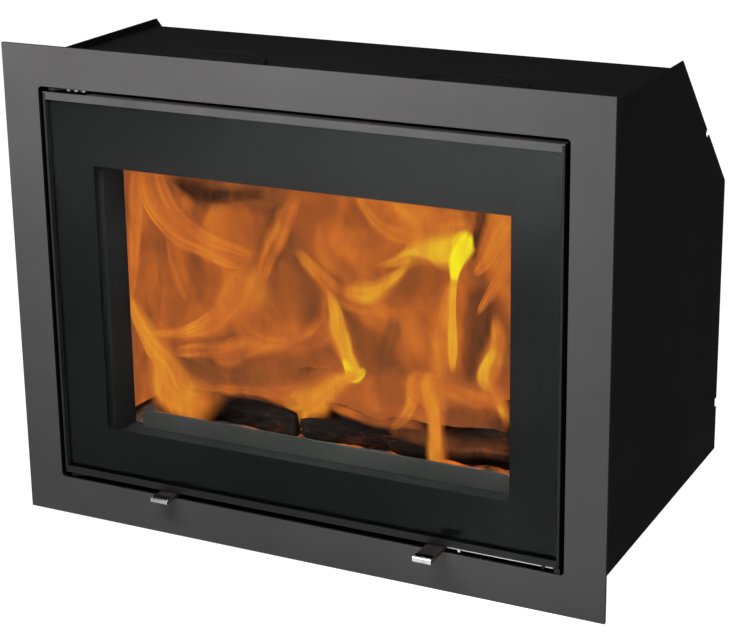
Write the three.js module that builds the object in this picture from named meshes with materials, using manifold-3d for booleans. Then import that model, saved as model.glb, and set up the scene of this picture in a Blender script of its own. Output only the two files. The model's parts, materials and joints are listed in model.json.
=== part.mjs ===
// A built-in wood-burning fireplace insert: a sheet-steel casing with a welded firebox, a flat surround frame,
// a glazed door on the left-hand hinges with a sliding bolt, and a pull-out air control.
// Millimetres, +Z up. X runs along the front, +Y into the chimney breast. The hearth is at Z 0.
// Inside the group, Y 0 is the front face of the surround frame; the group is then moved so that
// the origin is in the middle of the object's footprint.
import * as THREE from "three";
import { mergeVertices } from "three/addons/utils/BufferGeometryUtils.js";
import Module from "manifold-3d";

const wasm = await Module();
wasm.setup();

// ---------------------------------------------------------------- driving dimensions
const seat = 0.3; // the gap kept between two pieces that touch

const frameWidth = 800;
const frameHeight = 621;
const frameThickness = 4;
const frameBorder = 51;
const frameLift = 1; // the frame just clears the hearth
const frameOpeningRadius = 5;
const frameFlangeReach = 20; // of the fixing flanges behind the frame, inside the casing's sides
const frameFlangeInset = 70; // from the opening's top and bottom to the flanges' ends

const sheet = 2; // casing sheet
const casingSideInset = 26; // from the frame's edge in to the casing's side
const casingTopInset = 22; // from the frame's top down to the side panels' top edge
const casingDepth = 510; // from the frame's front face to the side panels' rear edge
const rearCutDepth = 197; // the 45 degree cut at the rear top
const topLip = 10; // the side panels stand this far above the top plate
const backLip = 8; // and this far behind the back plate
const notchLength = 13;
const notchDepth = 7;
const lowerNotchHeight = 62; // above the casing's underside
const upperNotchDistance = 154; // down the 45 degree edge
const floorSlotLength = 150; // room air comes in through two rows of slots in the casing's floor
const floorSlotWidth = 14;
const floorSlotGap = 30;
const floorSlotY = 110;
const floorSlotRowPitch = 250;

const footHeight = 22;
const footRadius = 18;
const footSideInset = 64; // from the casing's side to a foot's centre
const footEndInset = 75;
const studRadius = 4;
const studRise = 8; // above the casing's floor

const doorSideGap = 6.5;
const doorTopGap = 6.5;
const doorBottomGap = 7.5;
const doorDepth = 20;
const doorCornerRadius = 3;
const doorRim = 3; // width of the side strips beside the glass
const topBarHeight = 9.5;
const bottomBarHeight = 9;
const doorPlate = 3; // rear plate, and the wall and seat that stand on it round the window
const doorPlateEdge = 5; // the hollow behind the glass ends this far from the door's edge
const glassLedge = 14; // width of the ledge that the glass's tape lies on
const glassLedgeThickness = 2;
const sealInset = 6; // from the window's aperture to the rope
const sealWidth = 9;
const barThickness = 1.8;
const glassThickness = 4;
const printThickness = 0.4;
const glassTapeThickness = 1.2;
const windowSideBorder = 65; // from the door's edges to the clear part of the glass
const windowBottomBorder = 69.5;
const windowTopBorder = 89.5;
const doorApertureMargin = 12; // the steel frame stays out of sight round the window
const barSlotLength = 9;
const barSlotWidth = 3;
const barSlotCount = 4;
const barSlotEndInset = 85.5; // from the last slot to the door's right edge
const barSlotInset = 119.5; // from the door's left edge to the first slot
const hingeCutLength = 61.5; // the top bar's leg is cut away over this length at the hinge

const hingeEdgeInset = 10.5; // from the door's edge to the hinge pin's axis
const hingeAxisY = 11;
const pinRadius = 3;
const hingeEye = 5; // metal round the pin in the hinge plates
const hingePlate = 3;
const hingeTopGap = 1.6; // between the door and the upper plate
const hingeBottomGap = 2.6; // between the door and the lower plate, with a washer in it
const hingeLobes = 3;
const hingeLobePitch = 11;
const pinReach = 20; // of each pin into the door
const hingeBlockHeight = 20; // the block in the door's frame that each pin turns in
const hingeBlockWidth = 17.5;
const hingeLobeRadius = 4.5;

const wall = 4; // firebox plate
const fireboxFaceY = 26; // sealing face behind the door
const convectionGap = 44; // between the casing's sides and the firebox
const convectionRearGap = 62;
const convectionTopGap = 38;
const fireboxFloorZ = 84; // underside of the floor plate
const frontPlateSideGap = 3; // inside the frame's opening
const frontPlateOverlap = 6; // below the opening's lower edge
const frontPlateTopOverlap = 3;
const mouthSideMargin = 0.5; // the mouth is this much wider than the window, each side
const mouthBottomMargin = 15;
const mouthTopMargin = 11;
const mouthRadius = 2;
const sleeve = 3; // thickness of the mouth's sleeve
const sleeveDepth = 46; // from the sealing face inwards

const flueRadius = 75; // bore for a 150 mm flue pipe
const flueWall = 2;
const flueFlange = 95;
const fluePlateDistance = 60; // from the casing's sloping panel to the firebox's, square to both
const flueAlong = 123; // down the slope from its top edge to the flue's axis
const flueProud = 8;
const flueInside = 14; // of the socket inside the firebox
const flueFlangeThickness = 3;

const portRadius = 65; // hot-air hole in the top plate, under its cover
const portCoverRadius = 75;
const portCoverHeight = 3.4;
const portCoverDish = 1.5; // thickness of the cover inside its raised rim
const portCoverRim = 5;
const portX = 175;
const portY = 112;

const liner = 25; // fireproof board
const hearthThickness = 24.7;
const grateWidth = 220;
const grateDepth = 180;
const grateY = 170; // front edge
const gratePlate = 9;
const grateSkirt = 6;
const grateBars = 11;
const grateMargin = 15;
const airHoleRadius = 5; // row of secondary air holes in the rear liner
const airHolePitch = 60;
const airHoleRise = 181.7; // above the hearth bricks' underside
const baffleFrontY = 130;
const baffleRearGap = 32; // between the firebox's back and the baffle
const baffleFrontDrop = 100; // from the firebox's top to the baffle's underside at its front edge
const baffleBackDrop = 186; // and at its back edge

const deflectorThickness = 5;
const deflectorRailLeg = 20;
const deflectorRailWall = 3;
const deflectorRailOverlap = 95; // the rails run this far back over the baffle's front edge
const deflectorRailGap = 4; // between the mouth's sleeve and the rails

const guardHeight = 24;
const guardSideGap = 20; // to the mouth's sides
const guardThickness = 3;
const guardY = 58;
const guardFoot = 13;
const guardCorner = 7;

const handleWidth = 24;
const handleThickness = 5;
const handleX = 186; // the bolt's handle to the right, the air control to the left
const handleClearance = 1.2; // above the frame's edge
const boltReach = 40; // from the frame's face to the handle's end
const airReach = 24;
const capLength = 12;
const capHeight = 6.4;
const capGroove = 1; // width and depth of the groove across the cap's top
const capGrooveInset = 1.9; // behind its front face
const boltTravel = 14;
const boltEndInset = 15; // from the frame's opening to the released bolt's end
const boltHeight = 3.3;
const boltDepth = 6;
const boltFrontY = 4.5; // behind the frame's plate
const boltRunningGap = 0.45; // under the door
const stirrupThickness = 1.5;
const stirrupWidth = 3.5;
const airTravel = 25;
const airRodWidth = 16;
const airRodThickness = 3;
const rodSlotMargin = 3; // round the air control where it passes through a plate

// ---------------------------------------------------------------- places that follow from them
const frameBottom = frameLift;
const frameTop = frameLift + frameHeight;
const openingHalf = frameWidth / 2 - frameBorder;
const openingBottom = frameBottom + frameBorder;
const openingTop = frameTop - frameBorder;

const casingHalf = frameWidth / 2 - casingSideInset;
const insideHalf = casingHalf - sheet - seat; // what fits between the side panels
const casingFront = frameThickness + seat;
const casingTop = frameTop - casingTopInset;
const casingBottom = footHeight;
const roofZ = casingTop - topLip;
const creaseY = casingDepth - rearCutDepth;
const backY = casingDepth - backLip;
const slopeSum = creaseY + roofZ; // y + z on the sloping panel's outer face
const SQ = Math.SQRT1_2;

const doorHalf = openingHalf - doorSideGap;
const doorBottom = openingBottom + doorBottomGap;
const doorTop = openingTop - doorTopGap;
const windowHalf = doorHalf - windowSideBorder;
const windowBottom = doorBottom + windowBottomBorder;
const windowTop = doorTop - windowTopBorder;
const barSlotStart = -doorHalf + barSlotInset;
const barSlotPitch = (doorHalf - barSlotEndInset - barSlotStart) / (barSlotCount - 1);
const hingeCutEnd = -doorHalf + hingeCutLength;
const glassY = barThickness + seat;
const printY = glassY + glassThickness + seat;
const tapeY = printY + printThickness + seat;
const glassSeatY = tapeY + glassTapeThickness + seat;
const apertureHalf = windowHalf + doorApertureMargin;
const apertureBottom = windowBottom - doorApertureMargin;
const apertureTop = windowTop + doorApertureMargin;
const hingeX = -doorHalf + hingeEdgeInset;

const fireboxHalf = casingHalf - convectionGap;
const fireboxBackY = backY - convectionRearGap;
const fireboxTopZ = roofZ - convectionTopGap;
const frontPlateHalf = openingHalf - frontPlateSideGap;
const frontPlateBottom = openingBottom - frontPlateOverlap;
const frontPlateTop = openingTop + frontPlateTopOverlap;
const fireboxInside = fireboxHalf - wall - seat;
const fireboxFrontY = fireboxFaceY + wall + seat; // where the walls behind the front plate start
const fireboxFloorTop = fireboxFloorZ + wall;
const fireboxSlopeSum = slopeSum - fluePlateDistance / SQ;
const mouthHalf = windowHalf + mouthSideMargin;
const mouthBottom = windowBottom - mouthBottomMargin;
const mouthTop = windowTop + mouthTopMargin;
const guardHalf = mouthHalf - guardSideGap;
const sleeveEndY = fireboxFaceY + sleeveDepth;

const linerBottom = fireboxFloorTop + seat;
const hearthTop = linerBottom + hearthThickness;
const linerFrontY = sleeveEndY + 1;
const linerFaceX = fireboxInside - liner;
const rearLinerY = fireboxBackY - wall - seat - liner;
const airHoleZ = linerBottom + airHoleRise;
const baffleBackY = fireboxBackY - baffleRearGap;
const baffleFrontZ = fireboxTopZ - baffleFrontDrop;
const baffleBackZ = fireboxTopZ - baffleBackDrop;

const deflectorRailZ = mouthTop + sleeve + deflectorRailGap;
const deflectorRailFront = fireboxFrontY + 10;
const deflectorRailBack = baffleFrontY + deflectorRailOverlap;

const handleBottom = openingBottom + handleClearance;
const handleTop = handleBottom + handleThickness;
const handleMiddle = (handleBottom + handleTop) / 2;
const capTop = handleTop + (capHeight - handleThickness) / 2;
const boltTop = doorBottom - boltRunningGap;
const boltBottom = boltTop - boltHeight;
const boltBackY = boltFrontY + boltDepth;
const boltEndX = openingHalf - boltEndInset;

// ---------------------------------------------------------------- geometry helpers
const ROUND = 24; // sides of a small round piece

function box(x0, x1, y0, y1, z0, z1) {
  const g = new THREE.BoxGeometry(x1 - x0, y1 - y0, z1 - z0);
  return g.translate((x0 + x1) / 2, (y0 + y1) / 2, (z0 + z1) / 2);
}

function solid(geometry) {
  const g = geometry.clone();
  for (const name of Object.keys(g.attributes)) if (name !== "position") g.deleteAttribute(name);
  const merged = mergeVertices(g, 1e-4);
  return new wasm.Manifold(
    new wasm.Mesh({
      numProp: 3,
      vertProperties: new Float32Array(merged.attributes.position.array),
      triVerts: new Uint32Array(merged.index.array),
    }),
  );
}

function fromSolid(body) {
  const mesh = body.getMesh();
  const g = new THREE.BufferGeometry();
  g.setAttribute("position", new THREE.BufferAttribute(new Float32Array(mesh.vertProperties), 3));
  g.setIndex(new THREE.BufferAttribute(new Uint32Array(mesh.triVerts), 1));
  g.computeVertexNormals();
  return g;
}

const fuse = (...parts) => fromSolid(parts.map(solid).reduce((a, b) => a.add(b)));
const cut = (part, ...tools) => fromSolid(tools.map(solid).reduce((a, b) => a.subtract(b), solid(part)));

function outline(points) {
  return new THREE.Shape(points.map(([a, b]) => new THREE.Vector2(a, b)));
}

// A rectangle with round corners, as a Shape or, with Path, as a hole.
function roundedRect(x0, x1, z0, z1, radius, Kind = THREE.Shape) {
  const s = new Kind();
  s.moveTo(x0 + radius, z0);
  s.lineTo(x1 - radius, z0);
  s.absarc(x1 - radius, z0 + radius, radius, -Math.PI / 2, 0);
  s.lineTo(x1, z1 - radius);
  s.absarc(x1 - radius, z1 - radius, radius, 0, Math.PI / 2);
  s.lineTo(x0 + radius, z1);
  s.absarc(x0 + radius, z1 - radius, radius, Math.PI / 2, Math.PI);
  s.lineTo(x0, z0 + radius);
  s.absarc(x0 + radius, z0 + radius, radius, Math.PI, 1.5 * Math.PI);
  return s;
}

const extrude = (shape, depth, curveSegments = 5) =>
  new THREE.ExtrudeGeometry(shape, { depth, bevelEnabled: false, curveSegments });

// Shapes drawn in X and Z, Y and Z, or X and Y, given their thickness along the third axis.
const acrossY = (shape, y0, y1) =>
  extrude(shape, y1 - y0)
    .rotateX(Math.PI / 2)
    .translate(0, y1, 0);
const acrossX = (shape, x0, x1) =>
  extrude(shape, x1 - x0)
    .applyMatrix4(
      new THREE.Matrix4().makeBasis(
        new THREE.Vector3(0, 1, 0),
        new THREE.Vector3(0, 0, 1),
        new THREE.Vector3(1, 0, 0),
      ),
    )
    .translate(x0, 0, 0);
const acrossZ = (shape, z0, z1, segments) => extrude(shape, z1 - z0, segments).translate(0, 0, z0);

// A flat ring between two rectangles, seen from the front.
function ring(outer, inner, y0, y1, outerRadius = 0.01, innerRadius = 0.01) {
  const s = roundedRect(...outer, outerRadius);
  s.holes.push(roundedRect(...inner, innerRadius, THREE.Path));
  return acrossY(s, y0, y1);
}

function cylinderZ(x, y, radius, z0, z1, sides = ROUND) {
  const g = new THREE.CylinderGeometry(radius, radius, z1 - z0, sides);
  return g.rotateX(Math.PI / 2).translate(x, y, (z0 + z1) / 2);
}

// A turned piece: [radius, height] points round a vertical axis.
function turned(points, sides = ROUND) {
  const g = new THREE.LatheGeometry(
    points.map(([r, z]) => new THREE.Vector2(r, z)),
    sides,
  );
  return g.rotateX(Math.PI / 2);
}

const insert = new THREE.Group();
insert.position.y = (boltReach - casingDepth) / 2;

function piece(name, geometry, material) {
  const mesh = new THREE.Mesh(geometry, material);
  mesh.name = name;
  insert.add(mesh);
  return mesh;
}

const sides = [
  ["left", -1],
  ["right", 1],
];
// An X range on one side of the middle, from its nearer to its further edge.
const span = (side, near, far) => (side < 0 ? [-far, -near] : [near, far]);

// ---------------------------------------------------------------- materials
const paint = (color, roughness, metalness) => new THREE.MeshStandardMaterial({ color, roughness, metalness });
const blackSheet = paint(0x161616, 0.75, 0.3);
const frameSteel = paint(0x5c5a5b, 0.55, 0.5);
const doorSteel = paint(0x2a2a29, 0.5, 0.4);
const barSteel = paint(0x5a5b5c, 0.4, 0.6);
const fireboxSteel = paint(0x1b1a19, 0.8, 0.3);
const fireboard = paint(0x6a5f52, 0.95, 0);
const castIron = paint(0x242322, 0.8, 0.4);
const brightSteel = paint(0xb9babb, 0.25, 0.9);
const chrome = paint(0xdadada, 0.1, 1);
const rope = paint(0x8f8a80, 0.95, 0);
const glass = paint(0x202422, 0.05, 0);
const enamel = paint(0x0b0b0b, 0.3, 0);
const bark = paint(0x2b201a, 0.95, 0);
const ember = paint(0x5a2a12, 0.95, 0);

// ---------------------------------------------------------------- surround frame
function surroundFrame() {
  const plate = ring(
    [-frameWidth / 2, frameWidth / 2, frameBottom, frameTop],
    [-openingHalf, openingHalf, openingBottom, openingTop],
    0,
    frameThickness,
    0.6,
    frameOpeningRadius,
  );
  // a fixing flange is welded up each side of the back, just inside the casing's side panels
  const flanges = sides.map(([, side]) =>
    box(
      ...span(side, insideHalf - sheet, insideHalf),
      frameThickness - 1,
      frameThickness + frameFlangeReach,
      openingBottom + frameFlangeInset,
      openingTop - frameFlangeInset,
    ),
  );
  piece("surround_frame", fuse(plate, ...flanges), frameSteel);
}

// ---------------------------------------------------------------- casing
function sidePanels() {
  const profile = outline([
    [casingFront, casingBottom],
    [casingDepth, casingBottom],
    [casingDepth, casingTop - rearCutDepth],
    [creaseY, casingTop],
    [casingFront, casingTop],
  ]);
  for (const [name, side] of sides) {
    const [x0, x1] = span(side, casingHalf - sheet, casingHalf);
    const lowerNotch = box(
      x0 - 1,
      x1 + 1,
      casingDepth - notchDepth,
      casingDepth + 1,
      casingBottom + lowerNotchHeight,
      casingBottom + lowerNotchHeight + notchLength,
    );
    const upperNotch = box(x0 - 1, x1 + 1, upperNotchDistance, upperNotchDistance + notchLength, -notchDepth, 1)
      .rotateX(-Math.PI / 4)
      .translate(0, creaseY, casingTop);
    piece("casing_side_" + name, cut(acrossX(profile, x0, x1), lowerNotch, upperNotch), blackSheet);
  }
}

// The sloping panel's profile: its outer face lies on y + z = sum, from the crease down to y = back.
const slopeProfile = (sum, topZ, back, thickness) =>
  outline([
    [sum - topZ, topZ],
    [sum - topZ - thickness * SQ, topZ - thickness * SQ],
    [back - thickness * SQ, sum - back - thickness * SQ],
    [back, sum - back],
  ]);

const flueY = creaseY + flueAlong * SQ; // where the flue's axis leaves the casing
const flueZ = slopeSum - flueY;
// Puts a piece made round the vertical axis onto the flue's axis, with its Z 0 on the casing's sloping face.
const ontoFlue = (geometry) => geometry.rotateX(-Math.PI / 4).translate(0, flueY, flueZ);

function casingPanels() {
  const holeReach = 10 * sheet;
  const slopeHole = ontoFlue(
    cylinderZ(0, 0, flueRadius + flueWall + 2 * seat, -holeReach, holeReach, 2 * ROUND),
  );
  const top = box(-insideHalf, insideHalf, casingFront, creaseY - sheet * SQ - seat, roofZ - sheet, roofZ);
  const ports = sides.map(([, side]) =>
    cylinderZ(side * portX, portY, portRadius, roofZ - 2 * sheet, roofZ + sheet, 2 * ROUND),
  );
  piece("casing_top", cut(top, ...ports), blackSheet);
  const edge = 1.2;
  for (const [name, side] of sides) {
    const cover = turned(
      [
        [0, 0],
        [portCoverRadius, 0],
        [portCoverRadius, portCoverHeight - edge],
        [portCoverRadius - edge, portCoverHeight],
        [portCoverRadius - portCoverRim + edge, portCoverHeight],
        [portCoverRadius - portCoverRim, portCoverDish],
        [0, portCoverDish],
      ],
      2 * ROUND,
    );
    piece("hot_air_cover_" + name, cover.translate(side * portX, portY, roofZ + seat), blackSheet);
  }
  const slope = acrossX(slopeProfile(slopeSum, roofZ, backY, sheet), -insideHalf, insideHalf);
  piece("casing_slope", cut(slope, slopeHole), blackSheet);
  const backTop = slopeSum - backY - sheet * SQ - seat;
  piece(
    "casing_back",
    box(-insideHalf, insideHalf, backY - sheet, backY, casingBottom, backTop),
    blackSheet,
  );
}

function casingFloor() {
  const plate = box(
    -insideHalf,
    insideHalf,
    casingFront,
    backY - sheet - seat,
    casingBottom,
    casingBottom + sheet,
  );
  const slots = [];
  for (const column of [-1, 0, 1])
    for (const row of [0, 1]) {
      const x = column * (floorSlotLength + floorSlotGap);
      const y = floorSlotY + row * floorSlotRowPitch;
      const slot = roundedRect(
        x - floorSlotLength / 2,
        x + floorSlotLength / 2,
        y - floorSlotWidth / 2,
        y + floorSlotWidth / 2,
        floorSlotWidth / 2 - 0.01,
      );
      slots.push(acrossZ(slot, casingBottom - 1, casingBottom + sheet + 1, 4));
    }
  const footX = casingHalf - footSideInset;
  const feet = [
    ["front_left", -footX, footEndInset],
    ["front_right", footX, footEndInset],
    ["rear_left", -footX, backY - footEndInset],
    ["rear_right", footX, backY - footEndInset],
  ];
  const holes = feet.map(([, x, y]) =>
    cylinderZ(x, y, studRadius + seat, casingBottom - 1, casingBottom + sheet + 1, ROUND),
  );
  piece("casing_bottom", cut(plate, ...slots, ...holes), blackSheet);
  const padEdge = 3;
  const neckRadius = studRadius + 3;
  const nutRadius = studRadius + 6;
  const nutHeight = 6;
  for (const [name, x, y] of feet) {
    const pad = turned([
      [0, 0],
      [footRadius, 0],
      [footRadius, padEdge],
      [footRadius - padEdge, 2 * padEdge],
      [neckRadius, 2 * padEdge + 2],
      [neckRadius, casingBottom - nutHeight + 1],
      [studRadius, casingBottom - nutHeight + 2],
      [studRadius, casingBottom + sheet + studRise],
      [0, casingBottom + sheet + studRise],
    ]);
    const nut = cylinderZ(0, 0, nutRadius, casingBottom - nutHeight, casingBottom - seat, 6);
    piece("levelling_foot_" + name, fuse(pad, nut).translate(x, y, 0), brightSteel);
  }
}

// ---------------------------------------------------------------- firebox
const rodSlotHalf = handleWidth / 2 + rodSlotMargin;

function fireboxShell() {
  const face = ring(
    [-frontPlateHalf, frontPlateHalf, frontPlateBottom, frontPlateTop],
    [-mouthHalf, mouthHalf, mouthBottom, mouthTop],
    fireboxFaceY,
    fireboxFaceY + wall,
    0.6,
    mouthRadius,
  );
  const mouth = ring(
    [-mouthHalf - sleeve, mouthHalf + sleeve, mouthBottom - sleeve, mouthTop + sleeve],
    [-mouthHalf, mouthHalf, mouthBottom, mouthTop],
    fireboxFaceY + 1,
    sleeveEndY,
    mouthRadius + sleeve,
    mouthRadius,
  );
  const rodSlot = box(
    -handleX - rodSlotHalf,
    -handleX + rodSlotHalf,
    fireboxFaceY - 1,
    fireboxFaceY + wall + 1,
    handleBottom - rodSlotMargin / 2,
    handleTop + rodSlotMargin / 2,
  );
  piece("firebox_front", cut(fuse(face, mouth), rodSlot), fireboxSteel);

  const sum = fireboxSlopeSum - (wall + seat) / SQ; // the walls end just under the sloping plate
  const wallTop = fireboxTopZ - wall - seat;
  const wallBack = fireboxBackY - wall - seat;
  const profile = outline([
    [fireboxFrontY, linerBottom],
    [wallBack, linerBottom],
    [wallBack, sum - wallBack],
    [sum - wallTop, wallTop],
    [fireboxFrontY, wallTop],
  ]);
  for (const [name, side] of sides)
    piece(
      "firebox_side_" + name,
      fuse(
        acrossX(profile, ...span(side, fireboxHalf - wall, fireboxHalf)),
        // the rail that the smoke deflector lies on
        box(
          ...span(side, fireboxInside - deflectorRailLeg, fireboxInside + 1),
          deflectorRailFront,
          deflectorRailBack,
          deflectorRailZ,
          deflectorRailZ + deflectorRailWall,
        ),
      ),
      fireboxSteel,
    );
  const crease = fireboxSlopeSum - fireboxTopZ;
  piece(
    "firebox_top",
    box(-fireboxHalf, fireboxHalf, fireboxFrontY, crease - wall * SQ - seat, fireboxTopZ - wall, fireboxTopZ),
    fireboxSteel,
  );
  const reach = 5 * wall;
  const hole = ontoFlue(
    cylinderZ(0, 0, flueRadius + flueWall + seat, -fluePlateDistance - reach, -fluePlateDistance + reach, 2 * ROUND),
  );
  const slope = acrossX(
    slopeProfile(fireboxSlopeSum, fireboxTopZ, fireboxBackY, wall),
    -fireboxHalf,
    fireboxHalf,
  );
  piece("firebox_slope", cut(slope, hole), fireboxSteel);
  piece(
    "firebox_back",
    box(
      -fireboxHalf,
      fireboxHalf,
      fireboxBackY - wall,
      fireboxBackY,
      linerBottom,
      fireboxSlopeSum - fireboxBackY - wall * SQ - seat,
    ),
    fireboxSteel,
  );
}

function flueSocket() {
  const r = flueRadius;
  const outer = flueRadius + flueWall;
  const innerEnd = -fluePlateDistance - flueInside;
  const flangeBottom = -fluePlateDistance + seat;
  const socket = turned(
    [
      [r, innerEnd],
      [outer, innerEnd],
      [outer, flangeBottom],
      [flueFlange, flangeBottom],
      [flueFlange, flangeBottom + flueFlangeThickness],
      [outer, flangeBottom + flueFlangeThickness],
      [outer, flueProud],
      [r, flueProud],
      [r, innerEnd],
    ],
    2 * ROUND,
  );
  piece("flue_socket", ontoFlue(socket), brightSteel);
}

// ---------------------------------------------------------------- ash and air under the hearth
const grateBackY = grateY + grateDepth;
const panInset = 20; // the pan is this much smaller than the grate, all round
const panRim = 8;
const panWall = 1.5;
const panHalf = grateWidth / 2 - panInset;
const panFrontY = grateY + panInset;
const panBackY = grateBackY - panInset;
const boxWall = 2;
const boxGap = 14; // between the pan and the ash box's ends
const ashBoxHalf = panHalf + panRim;
const ashBoxFrontY = panFrontY - boxGap;
const ashBoxBackY = panBackY + boxGap;
const underFloor = fireboxFloorZ - seat;
const boxBottom = casingBottom + sheet + 18;

// An open-topped tray of sheet.
function tray(x0, x1, y0, y1, z0, z1, t) {
  return cut(box(x0, x1, y0, y1, z0, z1), box(x0 + t, x1 - t, y0 + t, y1 - t, z0 + t, z1 + 1));
}

function ashAndAir() {
  const floorHole = box(
    -panHalf - 2,
    panHalf + 2,
    panFrontY - 2,
    panBackY + 2,
    fireboxFloorZ - 1,
    fireboxFloorTop + 1,
  );
  // channels welded under the floor plate carry the firebox on the casing's floor
  const railWidth = 28;
  const railWall = 3;
  const railX = fireboxHalf - railWidth - 14;
  const railBottom = casingBottom + sheet + seat;
  const railFrontGap = 30; // behind the front feet
  const railBackGap = 60; // in front of the firebox's back
  const rails = sides.map(([, side]) =>
    acrossY(
      outline(
        [
          [railX, railBottom],
          [railX + railWidth, railBottom],
          [railX + railWidth, railBottom + railWall],
          [railX + railWall, railBottom + railWall],
          [railX + railWall, fireboxFloorZ + 1],
          [railX, fireboxFloorZ + 1],
        ].map(([x, z]) => [side * x, z]),
      ),
      footEndInset + railFrontGap,
      fireboxBackY - railBackGap,
    ),
  );
  piece(
    "firebox_floor",
    cut(
      fuse(
        box(-fireboxHalf, fireboxHalf, fireboxFrontY, fireboxBackY, fireboxFloorZ, fireboxFloorTop),
        ...rails,
      ),
      floorHole,
    ),
    fireboxSteel,
  );
  const ductHalf = 60;
  const duct = box(
    -ductHalf,
    ductHalf,
    ashBoxFrontY - 10,
    ashBoxFrontY + 10,
    boxBottom + 8,
    underFloor - 6,
  );
  // The pan hangs by its rim in the floor plate's hole, under the grate.
  const panTop = fireboxFloorTop + seat;
  const panLift = 4;
  const pan = fuse(
    tray(-panHalf, panHalf, panFrontY, panBackY, boxBottom + boxWall + panLift, panTop + panWall, panWall),
    cut(
      box(-panHalf - panRim, panHalf + panRim, panFrontY - panRim, panBackY + panRim, panTop, panTop + panWall),
      box(-panHalf + 1, panHalf - 1, panFrontY + 1, panBackY - 1, panTop - 1, panTop + 3),
    ),
  );
  piece("ash_pan", pan, brightSteel);

  // The ash box and, in front of it, the air box: an inlet slot in its floor is opened by the slide.
  const airBoxSide = 70; // from the air control's middle to the box's left side
  const airBoxFrontGap = 24;
  const inletGap = 34; // from the box's front to the inlet
  const airBoxLeft = -handleX - airBoxSide;
  const airBoxFrontY = fireboxFrontY + airBoxFrontGap;
  const airBoxBackY = ashBoxFrontY + boxWall; // the two share a wall
  const inletHalf = 26;
  const inletY = airBoxFrontY + inletGap;
  const inletLength = airTravel - 3;
  const rodNotch = box(
    -handleX - rodSlotHalf,
    -handleX + rodSlotHalf,
    airBoxFrontY - 1,
    airBoxFrontY + boxWall + 1,
    boxBottom + boxWall,
    handleTop + rodSlotMargin / 2,
  );
  const inlet = box(
    -handleX - inletHalf,
    -handleX + inletHalf,
    inletY,
    inletY + inletLength,
    boxBottom - 1,
    boxBottom + boxWall + 1,
  );
  const trays = fuse(
    tray(airBoxLeft, ashBoxHalf, airBoxFrontY, airBoxBackY, boxBottom, underFloor, boxWall),
    tray(-ashBoxHalf, ashBoxHalf, ashBoxFrontY, ashBoxBackY, boxBottom, underFloor, boxWall),
  );
  piece("ash_and_air_box", cut(trays, rodNotch, inlet, duct), fireboxSteel);

  // The slide: a gate with a window, and a joggled rod that runs forward to the tab.
  const gateZ = boxBottom + boxWall + seat;
  const gateThickness = 2;
  const gateMargin = 12; // round the gate's window
  const gateFrontY = airBoxFrontY + boxWall + airTravel + 2;
  const gate = cut(
    box(
      -handleX - inletHalf - gateMargin,
      -handleX + inletHalf + gateMargin,
      gateFrontY,
      inletY + inletLength + airTravel + gateMargin,
      gateZ,
      gateZ + gateThickness,
    ),
    box(
      -handleX - inletHalf,
      -handleX + inletHalf,
      inletY + airTravel,
      inletY + airTravel + inletLength,
      gateZ - 1,
      gateZ + gateThickness + 1,
    ),
  );
  const rodZ = handleMiddle - airRodThickness / 2;
  const joggle = gateFrontY + 2;
  const rod = outline([
    [airRodFrontY, rodZ],
    [joggle - 8, rodZ],
    [joggle, gateZ],
    [joggle + 10, gateZ],
    [joggle + 10, gateZ + airRodThickness],
    [joggle + 1.5, gateZ + airRodThickness],
    [joggle - 6.5, rodZ + airRodThickness],
    [airRodFrontY, rodZ + airRodThickness],
  ]);
  piece(
    "air_slide",
    fuse(gate, acrossX(rod, -handleX - airRodWidth / 2, -handleX + airRodWidth / 2)),
    brightSteel,
  );
}

// ---------------------------------------------------------------- liners, hearth and baffles
const baffleSlope = (baffleBackZ - baffleFrontZ) / (baffleBackY - baffleFrontY);
const baffleUnder = (y) => baffleFrontZ + baffleSlope * (y - baffleFrontY);

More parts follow.
